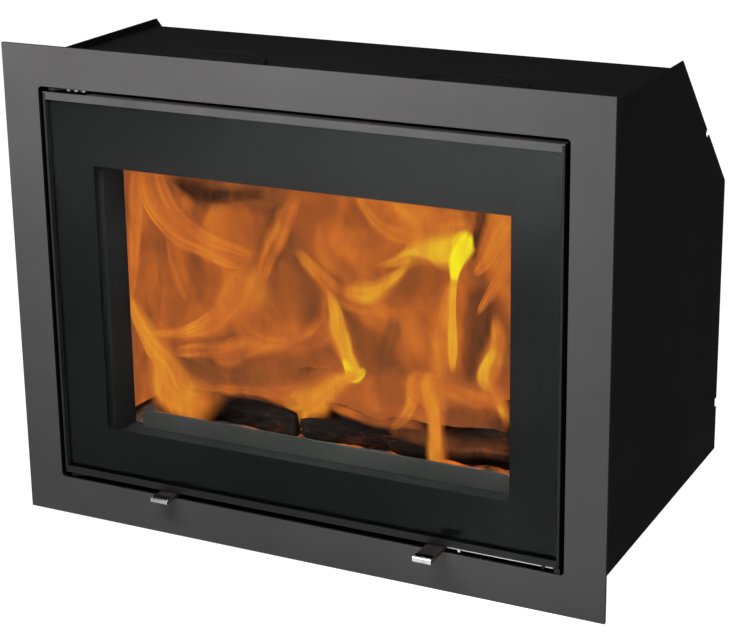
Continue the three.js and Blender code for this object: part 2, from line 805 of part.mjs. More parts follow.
function linings() {
  const top = (y) => baffleUnder(y) - seat;
  const endY = rearLinerY - seat;
  const sideProfile = outline([
    [linerFrontY, linerBottom],
    [endY, linerBottom],
    [endY, top(endY)],
    [linerFrontY, top(linerFrontY)],
  ]);
  for (const [name, side] of sides)
    piece("side_liner_" + name, acrossX(sideProfile, ...span(side, linerFaceX, fireboxInside)), fireboard);

  // The rear liner has a row of holes for hot secondary air.
  const rear = acrossX(
    outline([
      [rearLinerY, linerBottom],
      [rearLinerY + liner, linerBottom],
      [rearLinerY + liner, top(rearLinerY + liner)],
      [rearLinerY, top(rearLinerY)],
    ]),
    -fireboxInside,
    fireboxInside,
  );
  const holes = [];
  for (let i = -4; i <= 4; i++)
    holes.push(
      new THREE.CylinderGeometry(airHoleRadius, airHoleRadius, liner + 4, 10).translate(
        i * airHolePitch,
        rearLinerY + liner / 2,
        airHoleZ,
      ),
    );
  piece("rear_liner", cut(rear, ...holes), fireboard);

  const hearthHalf = linerFaceX - seat;
  const hearthFront = linerFrontY;
  const hearthBack = rearLinerY - seat;
  const side = grateWidth / 2 + seat;
  const bricks = {
    hearth_slab_front: [-hearthHalf, hearthHalf, hearthFront, grateY - seat],
    hearth_slab_rear: [-hearthHalf, hearthHalf, grateBackY + seat, hearthBack],
    hearth_slab_left: [-hearthHalf, -side, grateY, grateBackY],
    hearth_slab_right: [side, hearthHalf, grateY, grateBackY],
  };
  for (const [name, [x0, x1, y0, y1]] of Object.entries(bricks))
    piece(name, box(x0, x1, y0, y1, linerBottom, hearthTop), fireboard);
  // Grate: a slotted plate on a skirt that stands on the firebox floor round the pan.
  const half = grateWidth / 2;
  const under = box(
    -half + grateSkirt,
    half - grateSkirt,
    grateY + grateSkirt,
    grateBackY - grateSkirt,
    linerBottom - 1,
    hearthTop - gratePlate,
  );
  const pitch = (grateWidth - 2 * grateMargin) / grateBars;
  const grateMiddle = (grateY + grateBackY) / 2;
  const slots = [];
  for (let i = 0; i < grateBars; i++) {
    const x = (i - (grateBars - 1) / 2) * pitch;
    for (const [y0, y1] of [
      [grateY + grateMargin, grateMiddle - grateMargin / 3],
      [grateMiddle + grateMargin / 3, grateBackY - grateMargin],
    ])
      slots.push(box(x - pitch / 4, x + pitch / 4, y0, y1, hearthTop - gratePlate - 1, hearthTop + 1));
  }
  piece("grate", cut(box(-half, half, grateY, grateBackY, linerBottom, hearthTop), under, ...slots), castIron);

  // Baffle of fireproof board, laid on the sloping tops of the side liners.
  const lift = liner * Math.hypot(1, baffleSlope);
  const baffle = outline([
    [baffleFrontY, baffleUnder(baffleFrontY)],
    [baffleBackY, baffleUnder(baffleBackY)],
    [baffleBackY, baffleUnder(baffleBackY) + lift],
    [baffleFrontY, baffleUnder(baffleFrontY) + lift],
  ]);
  piece("baffle", acrossX(baffle, -fireboxInside + 1, fireboxInside - 1), fireboard);

  // Smoke deflector above the mouth, on the rails of the side walls.
  const deflectorHalf = fireboxInside - 1;
  const deflectorZ = deflectorRailZ + deflectorRailWall + seat;
  piece(
    "smoke_deflector",
    box(
      -deflectorHalf,
      deflectorHalf,
      deflectorRailFront + 2,
      deflectorRailBack - 2,
      deflectorZ,
      deflectorZ + deflectorThickness,
    ),
    castIron,
  );

  // Log guard: an angle that stands on the mouth's lower edge, with its top corners cut off.
  const z0 = mouthBottom + seat;
  const guard = acrossX(
    outline([
      [guardY, z0],
      [guardY + guardFoot, z0],
      [guardY + guardFoot, z0 + guardThickness],
      [guardY + guardThickness, z0 + guardThickness],
      [guardY + guardThickness, z0 + guardHeight],
      [guardY, z0 + guardHeight],
    ]),
    -guardHalf,
    guardHalf,
  );
  const corners = sides.map(([, s]) =>
    acrossY(
      outline([
        [s * (guardHalf - guardCorner), z0 + guardHeight + 0.01],
        [s * (guardHalf + 1), z0 + guardHeight + 0.01],
        [s * (guardHalf + 1), z0 + guardHeight - guardCorner - 1],
      ]),
      guardY - 1,
      guardY + guardThickness + 1,
    ),
  );
  piece("log_guard", cut(guard, ...corners), castIron);
}

// ---------------------------------------------------------------- door
const apertureRadius = 4;

// The rectangle that lies this far outside the window's aperture.
const roundAperture = (out) => [
  -apertureHalf - out,
  apertureHalf + out,
  apertureBottom - out,
  apertureTop + out,
];

function door() {
  const frame = fuse(
    // rear plate with the window's aperture
    ring(
      [-doorHalf, doorHalf, doorBottom + barThickness + seat, doorTop - barThickness - seat],
      roundAperture(0),
      doorDepth - doorPlate,
      doorDepth,
      doorCornerRadius,
      apertureRadius,
    ),
    // outer wall
    ring(
      [-doorHalf, doorHalf, doorBottom + barThickness + seat, doorTop - barThickness - seat],
      [-doorHalf + doorRim, doorHalf - doorRim, doorBottom + doorPlateEdge, doorTop - doorPlateEdge],
      glassSeatY,
      doorDepth - 1,
      doorCornerRadius,
      1,
    ),
    // the side walls come forward to the front face, as the thin strips beside the glass
    ...sides.map(([, side]) =>
      box(
        ...span(side, doorHalf - doorRim, doorHalf),
        0,
        glassSeatY + 1,
        doorBottom + doorCornerRadius,
        doorTop - doorCornerRadius,
      ),
    ),
    // inner wall and glass seat round the aperture
    ring(
      roundAperture(doorPlate),
      roundAperture(0),
      glassSeatY,
      doorDepth - 1,
      apertureRadius,
      apertureRadius,
    ),
    ring(
      roundAperture(glassLedge),
      roundAperture(0),
      glassSeatY,
      glassSeatY + glassLedgeThickness,
      apertureRadius,
      apertureRadius,
    ),
    // a block at each end of the hinge side, for the pins
    ...[doorBottom + doorPlateEdge - 1, doorTop - doorPlateEdge + 1 - hingeBlockHeight].map((z) =>
      box(
        -doorHalf + doorRim - 1,
        -doorHalf + doorRim + hingeBlockWidth,
        glassSeatY,
        doorDepth - doorPlate + 1,
        z,
        z + hingeBlockHeight,
      ),
    ),
  );
  const pinHole = cylinderZ(hingeX, hingeAxisY, pinRadius + seat, doorBottom - 10, doorTop + 10);
  piece("door_frame", cut(frame, pinHole), doorSteel);

  // Angle bars along the top and bottom hold the glass's edges and cap the frame.
  const glassHalf = doorHalf - doorRim - seat;
  const lipEdge = 0.4;
  const topLeg = box(-doorHalf, doorHalf, 0, doorDepth, doorTop - barThickness, doorTop);
  const topFront = acrossY(
    roundedRect(-glassHalf, glassHalf, doorTop - topBarHeight, doorTop, lipEdge),
    0,
    barThickness,
  );
  const barSlots = [];
  for (let i = 0; i < barSlotCount; i++) {
    const x = barSlotStart + i * barSlotPitch;
    const y = barThickness + lipEdge;
    barSlots.push(box(x, x + barSlotLength, y, y + barSlotWidth, doorTop - 2 * barThickness, doorTop + 1));
  }
  const hingeCut = box(
    -doorHalf - 1,
    hingeCutEnd,
    barThickness,
    doorDepth + 1,
    doorTop - 2 * barThickness,
    doorTop + 1,
  );
  piece("door_top_bar", cut(fuse(topLeg, topFront), ...barSlots, hingeCut, pinHole), barSteel);

  const bottomLeg = box(-doorHalf, doorHalf, 0, doorDepth, doorBottom, doorBottom + barThickness);
  const bottomFront = acrossY(
    roundedRect(-glassHalf, glassHalf, doorBottom, doorBottom + bottomBarHeight, lipEdge),
    0,
    barThickness,
  );
  piece("door_bottom_bar", cut(fuse(bottomLeg, bottomFront), pinHole), doorSteel);

  const glassBottom = doorBottom + barThickness + seat;
  const glassTop = doorTop - barThickness - seat;
  const pane = [-glassHalf, glassHalf, glassBottom, glassTop];
  piece("door_glass", box(-glassHalf, glassHalf, glassY, glassY + glassThickness, glassBottom, glassTop), glass);
  piece(
    "glass_print",
    ring(pane, [-windowHalf, windowHalf, windowBottom, windowTop], printY, printY + printThickness),
    enamel,
  );
  piece(
    "glass_tape",
    ring(
      roundAperture(glassLedge - 1),
      roundAperture(glassLedgeThickness),
      tapeY,
      tapeY + glassTapeThickness,
      apertureRadius,
      apertureRadius,
    ),
    rope,
  );
  piece(
    "door_seal",
    ring(
      roundAperture(sealInset + sealWidth),
      roundAperture(sealInset),
      doorDepth + seat,
      fireboxFaceY - seat,
      sealWidth,
      sealInset,
    ),
    rope,
  );
}

// ---------------------------------------------------------------- hinges
function hinges() {
  const left = hingeX - pinRadius - hingeEye;
  const back = fireboxFaceY - seat;
  const plate = (lobes) => {
    const s = new THREE.Shape();
    s.moveTo(left, back);
    s.lineTo(left, hingeAxisY);
    s.absarc(hingeX, hingeAxisY, hingeX - left, Math.PI, 1.75 * Math.PI);
    if (lobes) {
      const first = hingeCutEnd - hingeLobes * hingeLobePitch + hingeLobeRadius;
      for (let i = 0; i < hingeLobes; i++)
        s.absarc(first + i * hingeLobePitch, hingeAxisY, hingeLobeRadius, Math.PI, 2 * Math.PI);
      s.lineTo(hingeCutEnd, hingeAxisY + hingeLobeRadius);
      s.lineTo(hingeCutEnd, back);
    } else {
      s.lineTo(hingeCutEnd, back);
    }
    return s;
  };
  const hole = cylinderZ(hingeX, hingeAxisY, pinRadius + seat, openingBottom - 10, openingTop + 10);
  const upperZ = doorTop + hingeTopGap;
  const lowerZ = doorBottom - hingeBottomGap - hingePlate;
  piece("hinge_plate_top", cut(acrossZ(plate(true), upperZ, upperZ + hingePlate), hole), brightSteel);
  piece("hinge_plate_bottom", cut(acrossZ(plate(false), lowerZ, lowerZ + hingePlate), hole), doorSteel);
  piece(
    "hinge_pin_top",
    cylinderZ(hingeX, hingeAxisY, pinRadius, doorTop - pinReach, upperZ + hingePlate),
    brightSteel,
  );
  piece(
    "hinge_pin_bottom",
    cylinderZ(hingeX, hingeAxisY, pinRadius, lowerZ, doorBottom + pinReach),
    brightSteel,
  );
  const washer = turned([
    [pinRadius + seat, lowerZ + hingePlate + seat],
    [pinRadius + 4, lowerZ + hingePlate + seat],
    [pinRadius + 4, doorBottom - seat],
    [pinRadius + seat, doorBottom - seat],
    [pinRadius + seat, lowerZ + hingePlate + seat],
  ]);
  piece("hinge_washer", washer.translate(hingeX, hingeAxisY, 0), brightSteel);
}

// ---------------------------------------------------------------- handles, bolt and keeper
const tongueLength = 8;
const tongueHalf = handleWidth / 2 - 3;
const tongueThickness = 2;
const tabOverlap = 14; // of the air control's tab and the rod inside it
const airRodFrontY = -airReach + capLength + tabOverlap;

// A flat bar with a tongue at its front end, and the end cap that fits over the tongue.
function handleBar(x, reach, backY) {
  const barFront = -reach + capLength + seat;
  return fuse(
    box(x - handleWidth / 2, x + handleWidth / 2, barFront, backY, handleBottom, handleTop),
    box(
      x - tongueHalf,
      x + tongueHalf,
      barFront - tongueLength,
      barFront + 1,
      handleMiddle - tongueThickness / 2,
      handleMiddle + tongueThickness / 2,
    ),
  );
}

function handleCap(x, reach) {
  const front = -reach;
  const z0 = capTop - capHeight;
  const edge = 1;
  const profile = outline([
    [front, z0 + edge],
    [front + edge, z0],
    [front + capLength, z0],
    [front + capLength, capTop],
    [front + edge, capTop],
    [front, capTop - edge],
  ]);
  const pocket = box(
    x - tongueHalf - seat,
    x + tongueHalf + seat,
    front + capLength - tongueLength - seat,
    front + capLength + 1,
    handleMiddle - tongueThickness / 2 - seat,
    handleMiddle + tongueThickness / 2 + seat,
  );
  const groove = box(
    x - handleWidth / 2 - 1,
    x + handleWidth / 2 + 1,
    front + capGrooveInset,
    front + capGrooveInset + capGroove,
    capTop - capGroove,
    capTop + 1,
  );
  return cut(acrossX(profile, x - handleWidth / 2, x + handleWidth / 2), pocket, groove);
}

function handles() {
  // the bolt: handle, cap and the bright bar that slides along the door's lower edge
  piece("bolt_handle", handleBar(handleX, boltReach, doorDepth), doorSteel);
  piece("bolt_handle_cap", handleCap(handleX, boltReach), chrome);
  const barStart = handleX + handleWidth / 2 + seat;
  piece("bolt_bar", box(barStart, boltEndX, boltFrontY, boltBackY, boltBottom, boltTop), brightSteel);

  // two stirrups under the door carry the bar
  const t = stirrupThickness;
  const firstGuide = handleX + handleWidth / 2 + boltTravel + t; // clear of the shut handle
  const secondGuide = boltEndX - boltTravel;
  [
    ["bolt_guide_left", firstGuide],
    ["bolt_guide_right", secondGuide],
  ].forEach(([name, x]) => {
    const stirrup = outline([
      [boltFrontY - seat - t, doorBottom - seat],
      [boltFrontY - seat - t, boltBottom - seat - t],
      [boltBackY + seat + t, boltBottom - seat - t],
      [boltBackY + seat + t, doorBottom - seat],
      [boltBackY + seat, doorBottom - seat],
      [boltBackY + seat, boltBottom - seat],
      [boltFrontY - seat, boltBottom - seat],
      [boltFrontY - seat, doorBottom - seat],
    ]);
    piece(name, acrossX(stirrup, x, x + stirrupWidth), brightSteel);
  });

  // the keeper: a hooked strip on the firebox's front that the shut bolt slides behind
  const keeperStart = boltEndX + 2.5;
  const keeperTop = boltBottom - seat;
  const keeperFront = 0.6;
  const keeper = outline([
    [keeperFront, openingBottom + 2 * seat],
    [fireboxFaceY - seat, openingBottom + 2 * seat],
    [fireboxFaceY - seat, keeperTop],
    [boltFrontY - seat, keeperTop],
    [boltFrontY - seat, boltTop - seat],
    [keeperFront, boltTop - seat],
  ]);
  piece("bolt_keeper", acrossX(keeper, keeperStart, openingHalf - frameOpeningRadius - seat), doorSteel);

  // the air control's tab, on the front end of its slide
  const slotHalf = airRodWidth / 2 + seat;
  const rodPocket = box(
    -handleX - slotHalf,
    -handleX + slotHalf,
    airRodFrontY - seat,
    fireboxFaceY,
    handleMiddle - airRodThickness / 2 - seat,
    handleMiddle + airRodThickness / 2 + seat,
  );
  piece("air_tab", cut(handleBar(-handleX, airReach, airRodFrontY + tabOverlap), rodPocket), doorSteel);
  piece("air_tab_cap", handleCap(-handleX, airReach), chrome);
}

// ---------------------------------------------------------------- the fire's logs and bed
function fireContents() {
  const bedMargin = 45;
  const bedThickness = 8;
  const bedFrontGap = 12; // behind the side liners' front edge
  const bedTop = hearthTop + seat + bedThickness;
  const bed = roundedRect(
    -linerFaceX + bedMargin,
    linerFaceX - bedMargin,
    linerFrontY + bedFrontGap,
    rearLinerY - bedMargin,
    bedMargin / 2,
  );
  piece("ember_bed", acrossZ(bed, hearthTop + seat, bedTop), ember);

  // A split log: a wedge-shaped section between two ends, lying on the bed.
  const log = (length, radius, flat) => {
    const s = new THREE.Shape();
    const n = 9;
    for (let i = 0; i <= n; i++) {
      const a = Math.PI * (0.02 + (0.96 * i) / n);
      const r = radius * (i % 2 ? 0.96 : 1);
      s[i ? "lineTo" : "moveTo"](r * Math.cos(a), r * Math.sin(a));
    }
    s.lineTo(-radius * 0.5, -flat);
    s.lineTo(radius * 0.5, -flat);
    return acrossX(s, -length / 2, length / 2);
  };
  const lay = (name, length, radius, flat, x, y, turn) =>
    piece(
      name,
      log(length, radius, flat)
        .rotateZ(turn)
        .translate(x, y, bedTop + seat + flat),
      bark,
    );
  // two split logs lie along the guard, and a thicker one behind them
  const logRadius = 24;
  const logFlat = 10;
  const rearLogRadius = 34;
  const rearLogFlat = 13;
  const logFrontGap = 46; // from the side liners' front edge to the front logs' middle
  const logRowPitch = 96;
  const logY = linerFrontY + logFrontGap;
  const rearLogY = logY + logRowPitch;
  const logOverhang = 2; // past the guard's ends
  const logGapX = -48; // the middle of the gap between the front logs
  const logEnd = guardHalf + logOverhang;
  const logGap = 8;
  const leftLength = logGapX - logGap / 2 + logEnd;
  const rightLength = logEnd - logGapX - logGap / 2;
  lay("log_left", leftLength, logRadius, logFlat, leftLength / 2 - logEnd, logY, 0.03);
  lay("log_right", rightLength, logRadius, logFlat, logEnd - rightLength / 2, logY, -0.02);
  lay("log_rear", 1.6 * logEnd, rearLogRadius, rearLogFlat, -logGap, rearLogY, 0.03);
}

surroundFrame();
sidePanels();
casingPanels();
casingFloor();
fireboxShell();
flueSocket();
ashAndAir();
linings();
door();
hinges();
handles();
fireContents();

export default insert;
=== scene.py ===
import bpy
import json
import math
import random
from mathutils import Matrix, Vector, noise

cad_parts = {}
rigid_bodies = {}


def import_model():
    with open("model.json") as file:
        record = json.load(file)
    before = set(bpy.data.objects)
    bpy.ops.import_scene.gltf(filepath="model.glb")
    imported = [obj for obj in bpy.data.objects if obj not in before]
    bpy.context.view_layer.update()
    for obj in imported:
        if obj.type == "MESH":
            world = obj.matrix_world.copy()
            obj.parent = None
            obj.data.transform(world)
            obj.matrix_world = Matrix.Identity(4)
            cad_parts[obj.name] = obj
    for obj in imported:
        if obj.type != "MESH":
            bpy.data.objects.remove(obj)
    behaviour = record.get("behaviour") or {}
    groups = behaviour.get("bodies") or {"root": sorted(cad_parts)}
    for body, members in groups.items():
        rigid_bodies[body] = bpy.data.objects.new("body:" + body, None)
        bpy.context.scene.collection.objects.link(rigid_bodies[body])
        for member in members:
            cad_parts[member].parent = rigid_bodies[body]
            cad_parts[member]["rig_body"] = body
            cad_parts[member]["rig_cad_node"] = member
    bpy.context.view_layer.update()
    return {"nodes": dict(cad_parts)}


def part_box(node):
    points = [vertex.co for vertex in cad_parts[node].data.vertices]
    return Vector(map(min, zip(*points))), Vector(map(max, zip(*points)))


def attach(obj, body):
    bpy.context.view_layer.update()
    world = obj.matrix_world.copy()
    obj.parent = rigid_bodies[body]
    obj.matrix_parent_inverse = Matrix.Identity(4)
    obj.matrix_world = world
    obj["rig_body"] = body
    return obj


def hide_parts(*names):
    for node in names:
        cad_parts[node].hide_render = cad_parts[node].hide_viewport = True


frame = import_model()
nodes = frame["nodes"]
print("frame loaded:", len(nodes), "nodes")

# working helpers


def activate(piece):
    bpy.ops.object.select_all(action="DESELECT")
    piece.select_set(True)
    bpy.context.view_layer.objects.active = piece


def applyModifiers(piece):
    activate(piece)
    for modifier in list(piece.modifiers):
        bpy.ops.object.modifier_apply(modifier=modifier.name)


def settle(piece):  # the piece's place goes into its mesh
    activate(piece)
    bpy.ops.object.transform_apply(location=True, rotation=True, scale=True)


def editMesh(piece, action):
    activate(piece)
    bpy.ops.object.mode_set(mode="EDIT")
    bpy.ops.mesh.select_all(action=action)


mergeValues = {"distance": 0.00001, "flatAngle": 0.5}


def copyOfNode(nodeName, pieceName):  # with its triangles merged into whole faces
    piece = nodes[nodeName].copy()
    piece.data = nodes[nodeName].data.copy()
    piece.parent = None
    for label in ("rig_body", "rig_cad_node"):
        if label in piece:
            del piece[label]
    piece.name = piece.data.name = pieceName
    bpy.context.collection.objects.link(piece)
    editMesh(piece, "SELECT")
    bpy.ops.mesh.remove_doubles(threshold=mergeValues["distance"])
    bpy.ops.mesh.dissolve_limited(angle_limit=math.radians(mergeValues["flatAngle"]))
    bpy.ops.object.mode_set(mode="OBJECT")
    return piece


edgeValues = {"segments": 2, "bevelAngle": 35, "smoothAngle": 40}


def bevelEdges(piece, width, segments=edgeValues["segments"]):
    bevel = piece.modifiers.new("edges", "BEVEL")
    bevel.width = width
    bevel.segments = segments
    bevel.limit_method = "ANGLE"
    bevel.angle_limit = math.radians(edgeValues["bevelAngle"])
    bevel.use_clamp_overlap = True
    applyModifiers(piece)
    activate(piece)
    bpy.ops.object.shade_smooth_by_angle(angle=math.radians(edgeValues["smoothAngle"]))
    even = piece.modifiers.new("even", "WEIGHTED_NORMAL")
    even.keep_sharp = True
    applyModifiers(piece)


def joinPieces(pieces, name):
    bpy.ops.object.select_all(action="DESELECT")
    for piece in pieces:
        piece.select_set(True)
    bpy.context.view_layer.objects.active = pieces[0]
    bpy.ops.object.join()
    joined = bpy.context.object
    joined.name = joined.data.name = name
    return joined


def dress(piece, material, slot, body, *replaced):
    piece.data.materials.clear()
    piece.data.materials.append(material)
    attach(piece, body)
    if replaced:
        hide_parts(*replaced)


def finishNodes(material, *names):
    for name in names:
        nodes[name].data.materials.clear()
        nodes[name].data.materials.append(material)


def smoothStep(value):  # 0 below 0, 1 above 1 and a soft rise between
    value = min(max(value, 0), 1)
    return value * value * (3 - 2 * value)


def noiseAt(*place):
    return noise.noise(Vector(place))


# helpers for materials


def startMaterial(name):
    material = bpy.data.materials.new(name)
    material.use_nodes = True
    tree = material.node_tree
    return material, tree, tree.nodes["Principled BSDF"]


def texture(tree, kind, scale, stretch=(1, 1, 1), **settings):
    coordinates = tree.nodes.new("ShaderNodeTexCoord")
    mapping = tree.nodes.new("ShaderNodeMapping")
    mapping.inputs["Scale"].default_value = stretch
    pattern = tree.nodes.new(kind)
    pattern.inputs["Scale"].default_value = scale
    for label, value in settings.items():
        pattern.inputs[label].default_value = value
    tree.links.new(coordinates.outputs["Object"], mapping.inputs["Vector"])
    tree.links.new(mapping.outputs["Vector"], pattern.inputs["Vector"])
    return pattern


def clouds(tree, scale, stretch=(1, 1, 1), **settings):
    return texture(tree, "ShaderNodeTexNoise", scale, stretch, **settings).outputs["Fac"]


def ramp(tree, source, *stops):
    colours = tree.nodes.new("ShaderNodeValToRGB")
    elements = colours.color_ramp.elements
    for element, (place, colour) in zip(elements, (stops[0], stops[-1])):
        element.position = place
        element.color = (*colour, 1)
    for place, colour in stops[1:-1]:
        elements.new(place).color = (*colour, 1)
    tree.links.new(source, colours.inputs["Fac"])
    return colours.outputs["Color"]


def mapRange(tree, source, fromLow, fromHigh, toLow, toHigh, kind="LINEAR"):
    ranged = tree.nodes.new("ShaderNodeMapRange")
    ranged.interpolation_type = kind
    limits = {"From Min": fromLow, "From Max": fromHigh, "To Min": toLow, "To Max": toHigh}
    for label, value in limits.items():
        ranged.inputs[label].default_value = value
    tree.links.new(source, ranged.inputs["Value"])
    return ranged.outputs["Result"]


def blendColours(tree, kind, amount, first, second):
    mix = tree.nodes.new("ShaderNodeMix")
    mix.data_type = "RGBA"
    mix.blend_type = kind
    mix.inputs["Factor"].default_value = amount
    tree.links.new(first, mix.inputs["A"])
    tree.links.new(second, mix.inputs["B"])
    return mix.outputs["Result"]


def maths(tree, operation, first, second):
    node = tree.nodes.new("ShaderNodeMath")
    node.operation = operation
    for socket, value in zip(node.inputs, (first, second)):
        if isinstance(value, (int, float)):
            socket.default_value = value
        else:
            tree.links.new(value, socket)
    return node.outputs["Value"]


def bumpFrom(tree, shader, height, strength, distance):
    bump = tree.nodes.new("ShaderNodeBump")
    bump.inputs["Strength"].default_value = strength
    bump.inputs["Distance"].default_value = distance
    tree.links.new(height, bump.inputs["Height"])
    tree.links.new(bump.outputs["Normal"], shader.inputs["Normal"])


def setInputs(shader, values):
    for label, value in values.items():
        shader.inputs[label].default_value = value


def setSurface(tree, shader, colour, rough, gloss=0.5):
    tree.links.new(colour, shader.inputs["Base Color"])
    setInputs(shader, {"Roughness": rough, "Specular IOR Level": gloss})


def setGlow(tree, shader, colour, strength):
    shader.inputs["Emission Color"].default_value = (*colour, 1)
    tree.links.new(strength, shader.inputs["Emission Strength"])


# camera, floor and light

cameraValues = {
    "place": (1.091, -2.207, 1.088),
    "yaw": 26.62,
    "pitch": 16.98,
    "roll": -0.82,
    "lens": 97.5,
    "sensor": 36,
    "shiftDown": 0.095,
}


def addCamera(values):
    turn = (
        Matrix.Rotation(math.radians(values["yaw"]), 4, "Z")
        @ Matrix.Rotation(math.radians(90 - values["pitch"]), 4, "X")
        @ Matrix.Rotation(math.radians(values["roll"]), 4, "Z")
    )
    bpy.ops.object.camera_add()
    camera = bpy.context.object
    camera.matrix_world = Matrix.Translation(values["place"]) @ turn
    camera.data.sensor_width = values["sensor"]
    camera.data.lens = values["lens"]
    camera.data.shift_y = -values["shiftDown"]
    bpy.context.scene.camera = camera


floorValues = {
    "size": 40, "below": 0.0005, "ownLight": 1.0,
    "paper": {"Base Color": (0.1, 0.1, 0.1, 1), "Roughness": 0.9, "Specular IOR Level": 0.1},
}
# round patches of the floor that shine brighter, so that the glass has something to mirror
floorPatches = (
    {"place": (-0.42, -2.4, 0), "radius": 1.5, "light": 10.5},
    {"place": (0.02, -0.96, 0), "radius": 0.5, "light": 2.0},
    {"place": (0.27, -0.44, 0), "radius": 0.32, "light": 1.5},
)


def patchLight(tree, light, patches):
    coordinates = tree.nodes.new("ShaderNodeTexCoord")
    for values in patches:
        reach = tree.nodes.new("ShaderNodeVectorMath")
        reach.operation = "DISTANCE"
        reach.inputs[1].default_value = values["place"]
        tree.links.new(coordinates.outputs["Object"], reach.inputs[0])
        patch = mapRange(tree, reach.outputs["Value"], values["radius"], 0, 0, values["light"], "SMOOTHSTEP")
        light = maths(tree, "ADD", light, patch)
    return light


def addFloor(values, patches):
    bpy.ops.mesh.primitive_plane_add(size=values["size"], location=(0, 0, -values["below"]))
    floor = bpy.context.object
    floor.name = "floor"
    material, tree, shader = startMaterial("floorPaper")
    setInputs(shader, values["paper"])
    setGlow(tree, shader, (1, 1, 1), patchLight(tree, values["ownLight"], patches))
    floor.data.materials.append(material)


skyValues = {"left": 0.5, "right": 0.18}
studioLamps = {
    "topFront": {
        "place": (-0.22, -0.84, 0.98), "aim": (-0.14, -0.235, 0.6), "size": (0.9, 0.3), "power": 18.5,
    },
    "overhead": {
        "place": (-0.3, -0.9, 3.4), "aim": (0.0, -0.6, 0), "size": (2.4, 2.4), "power": 26,
    },
}


def addSky(values):  # brighter on the left than on the right
    world = bpy.data.worlds.new("studio")
    bpy.context.scene.world = world
    world.use_nodes = True
    tree = world.node_tree
    coordinates = tree.nodes.new("ShaderNodeTexCoord")
    parts = tree.nodes.new("ShaderNodeSeparateXYZ")
    tree.links.new(coordinates.outputs["Generated"], parts.inputs["Vector"])
    sky = tree.nodes["Background"]
    sky.inputs["Color"].default_value = (1, 1, 1, 1)
    strength = mapRange(tree, parts.outputs["X"], -1, 1, values["left"], values["right"])
    tree.links.new(strength, sky.inputs["Strength"])


def addLamps(lamps):
    for name, values in lamps.items():
        bpy.ops.object.light_add(type="AREA", location=values["place"])
        lamp = bpy.context.object
        lamp.name = name
        lamp.data.shape = "RECTANGLE"
        lamp.data.size, lamp.data.size_y = values["size"]
        lamp.data.energy = values["power"]
        aim = Vector(values["aim"]) - Vector(values["place"])
        lamp.rotation_euler = aim.to_track_quat("-Z", "Y").to_euler()


addCamera(cameraValues)
addFloor(floorValues, floorPatches)
addSky(skyValues)
addLamps(studioLamps)
bpy.context.scene.view_settings.view_transform = "Standard"
print("camera, floor and lights in place")

# materials

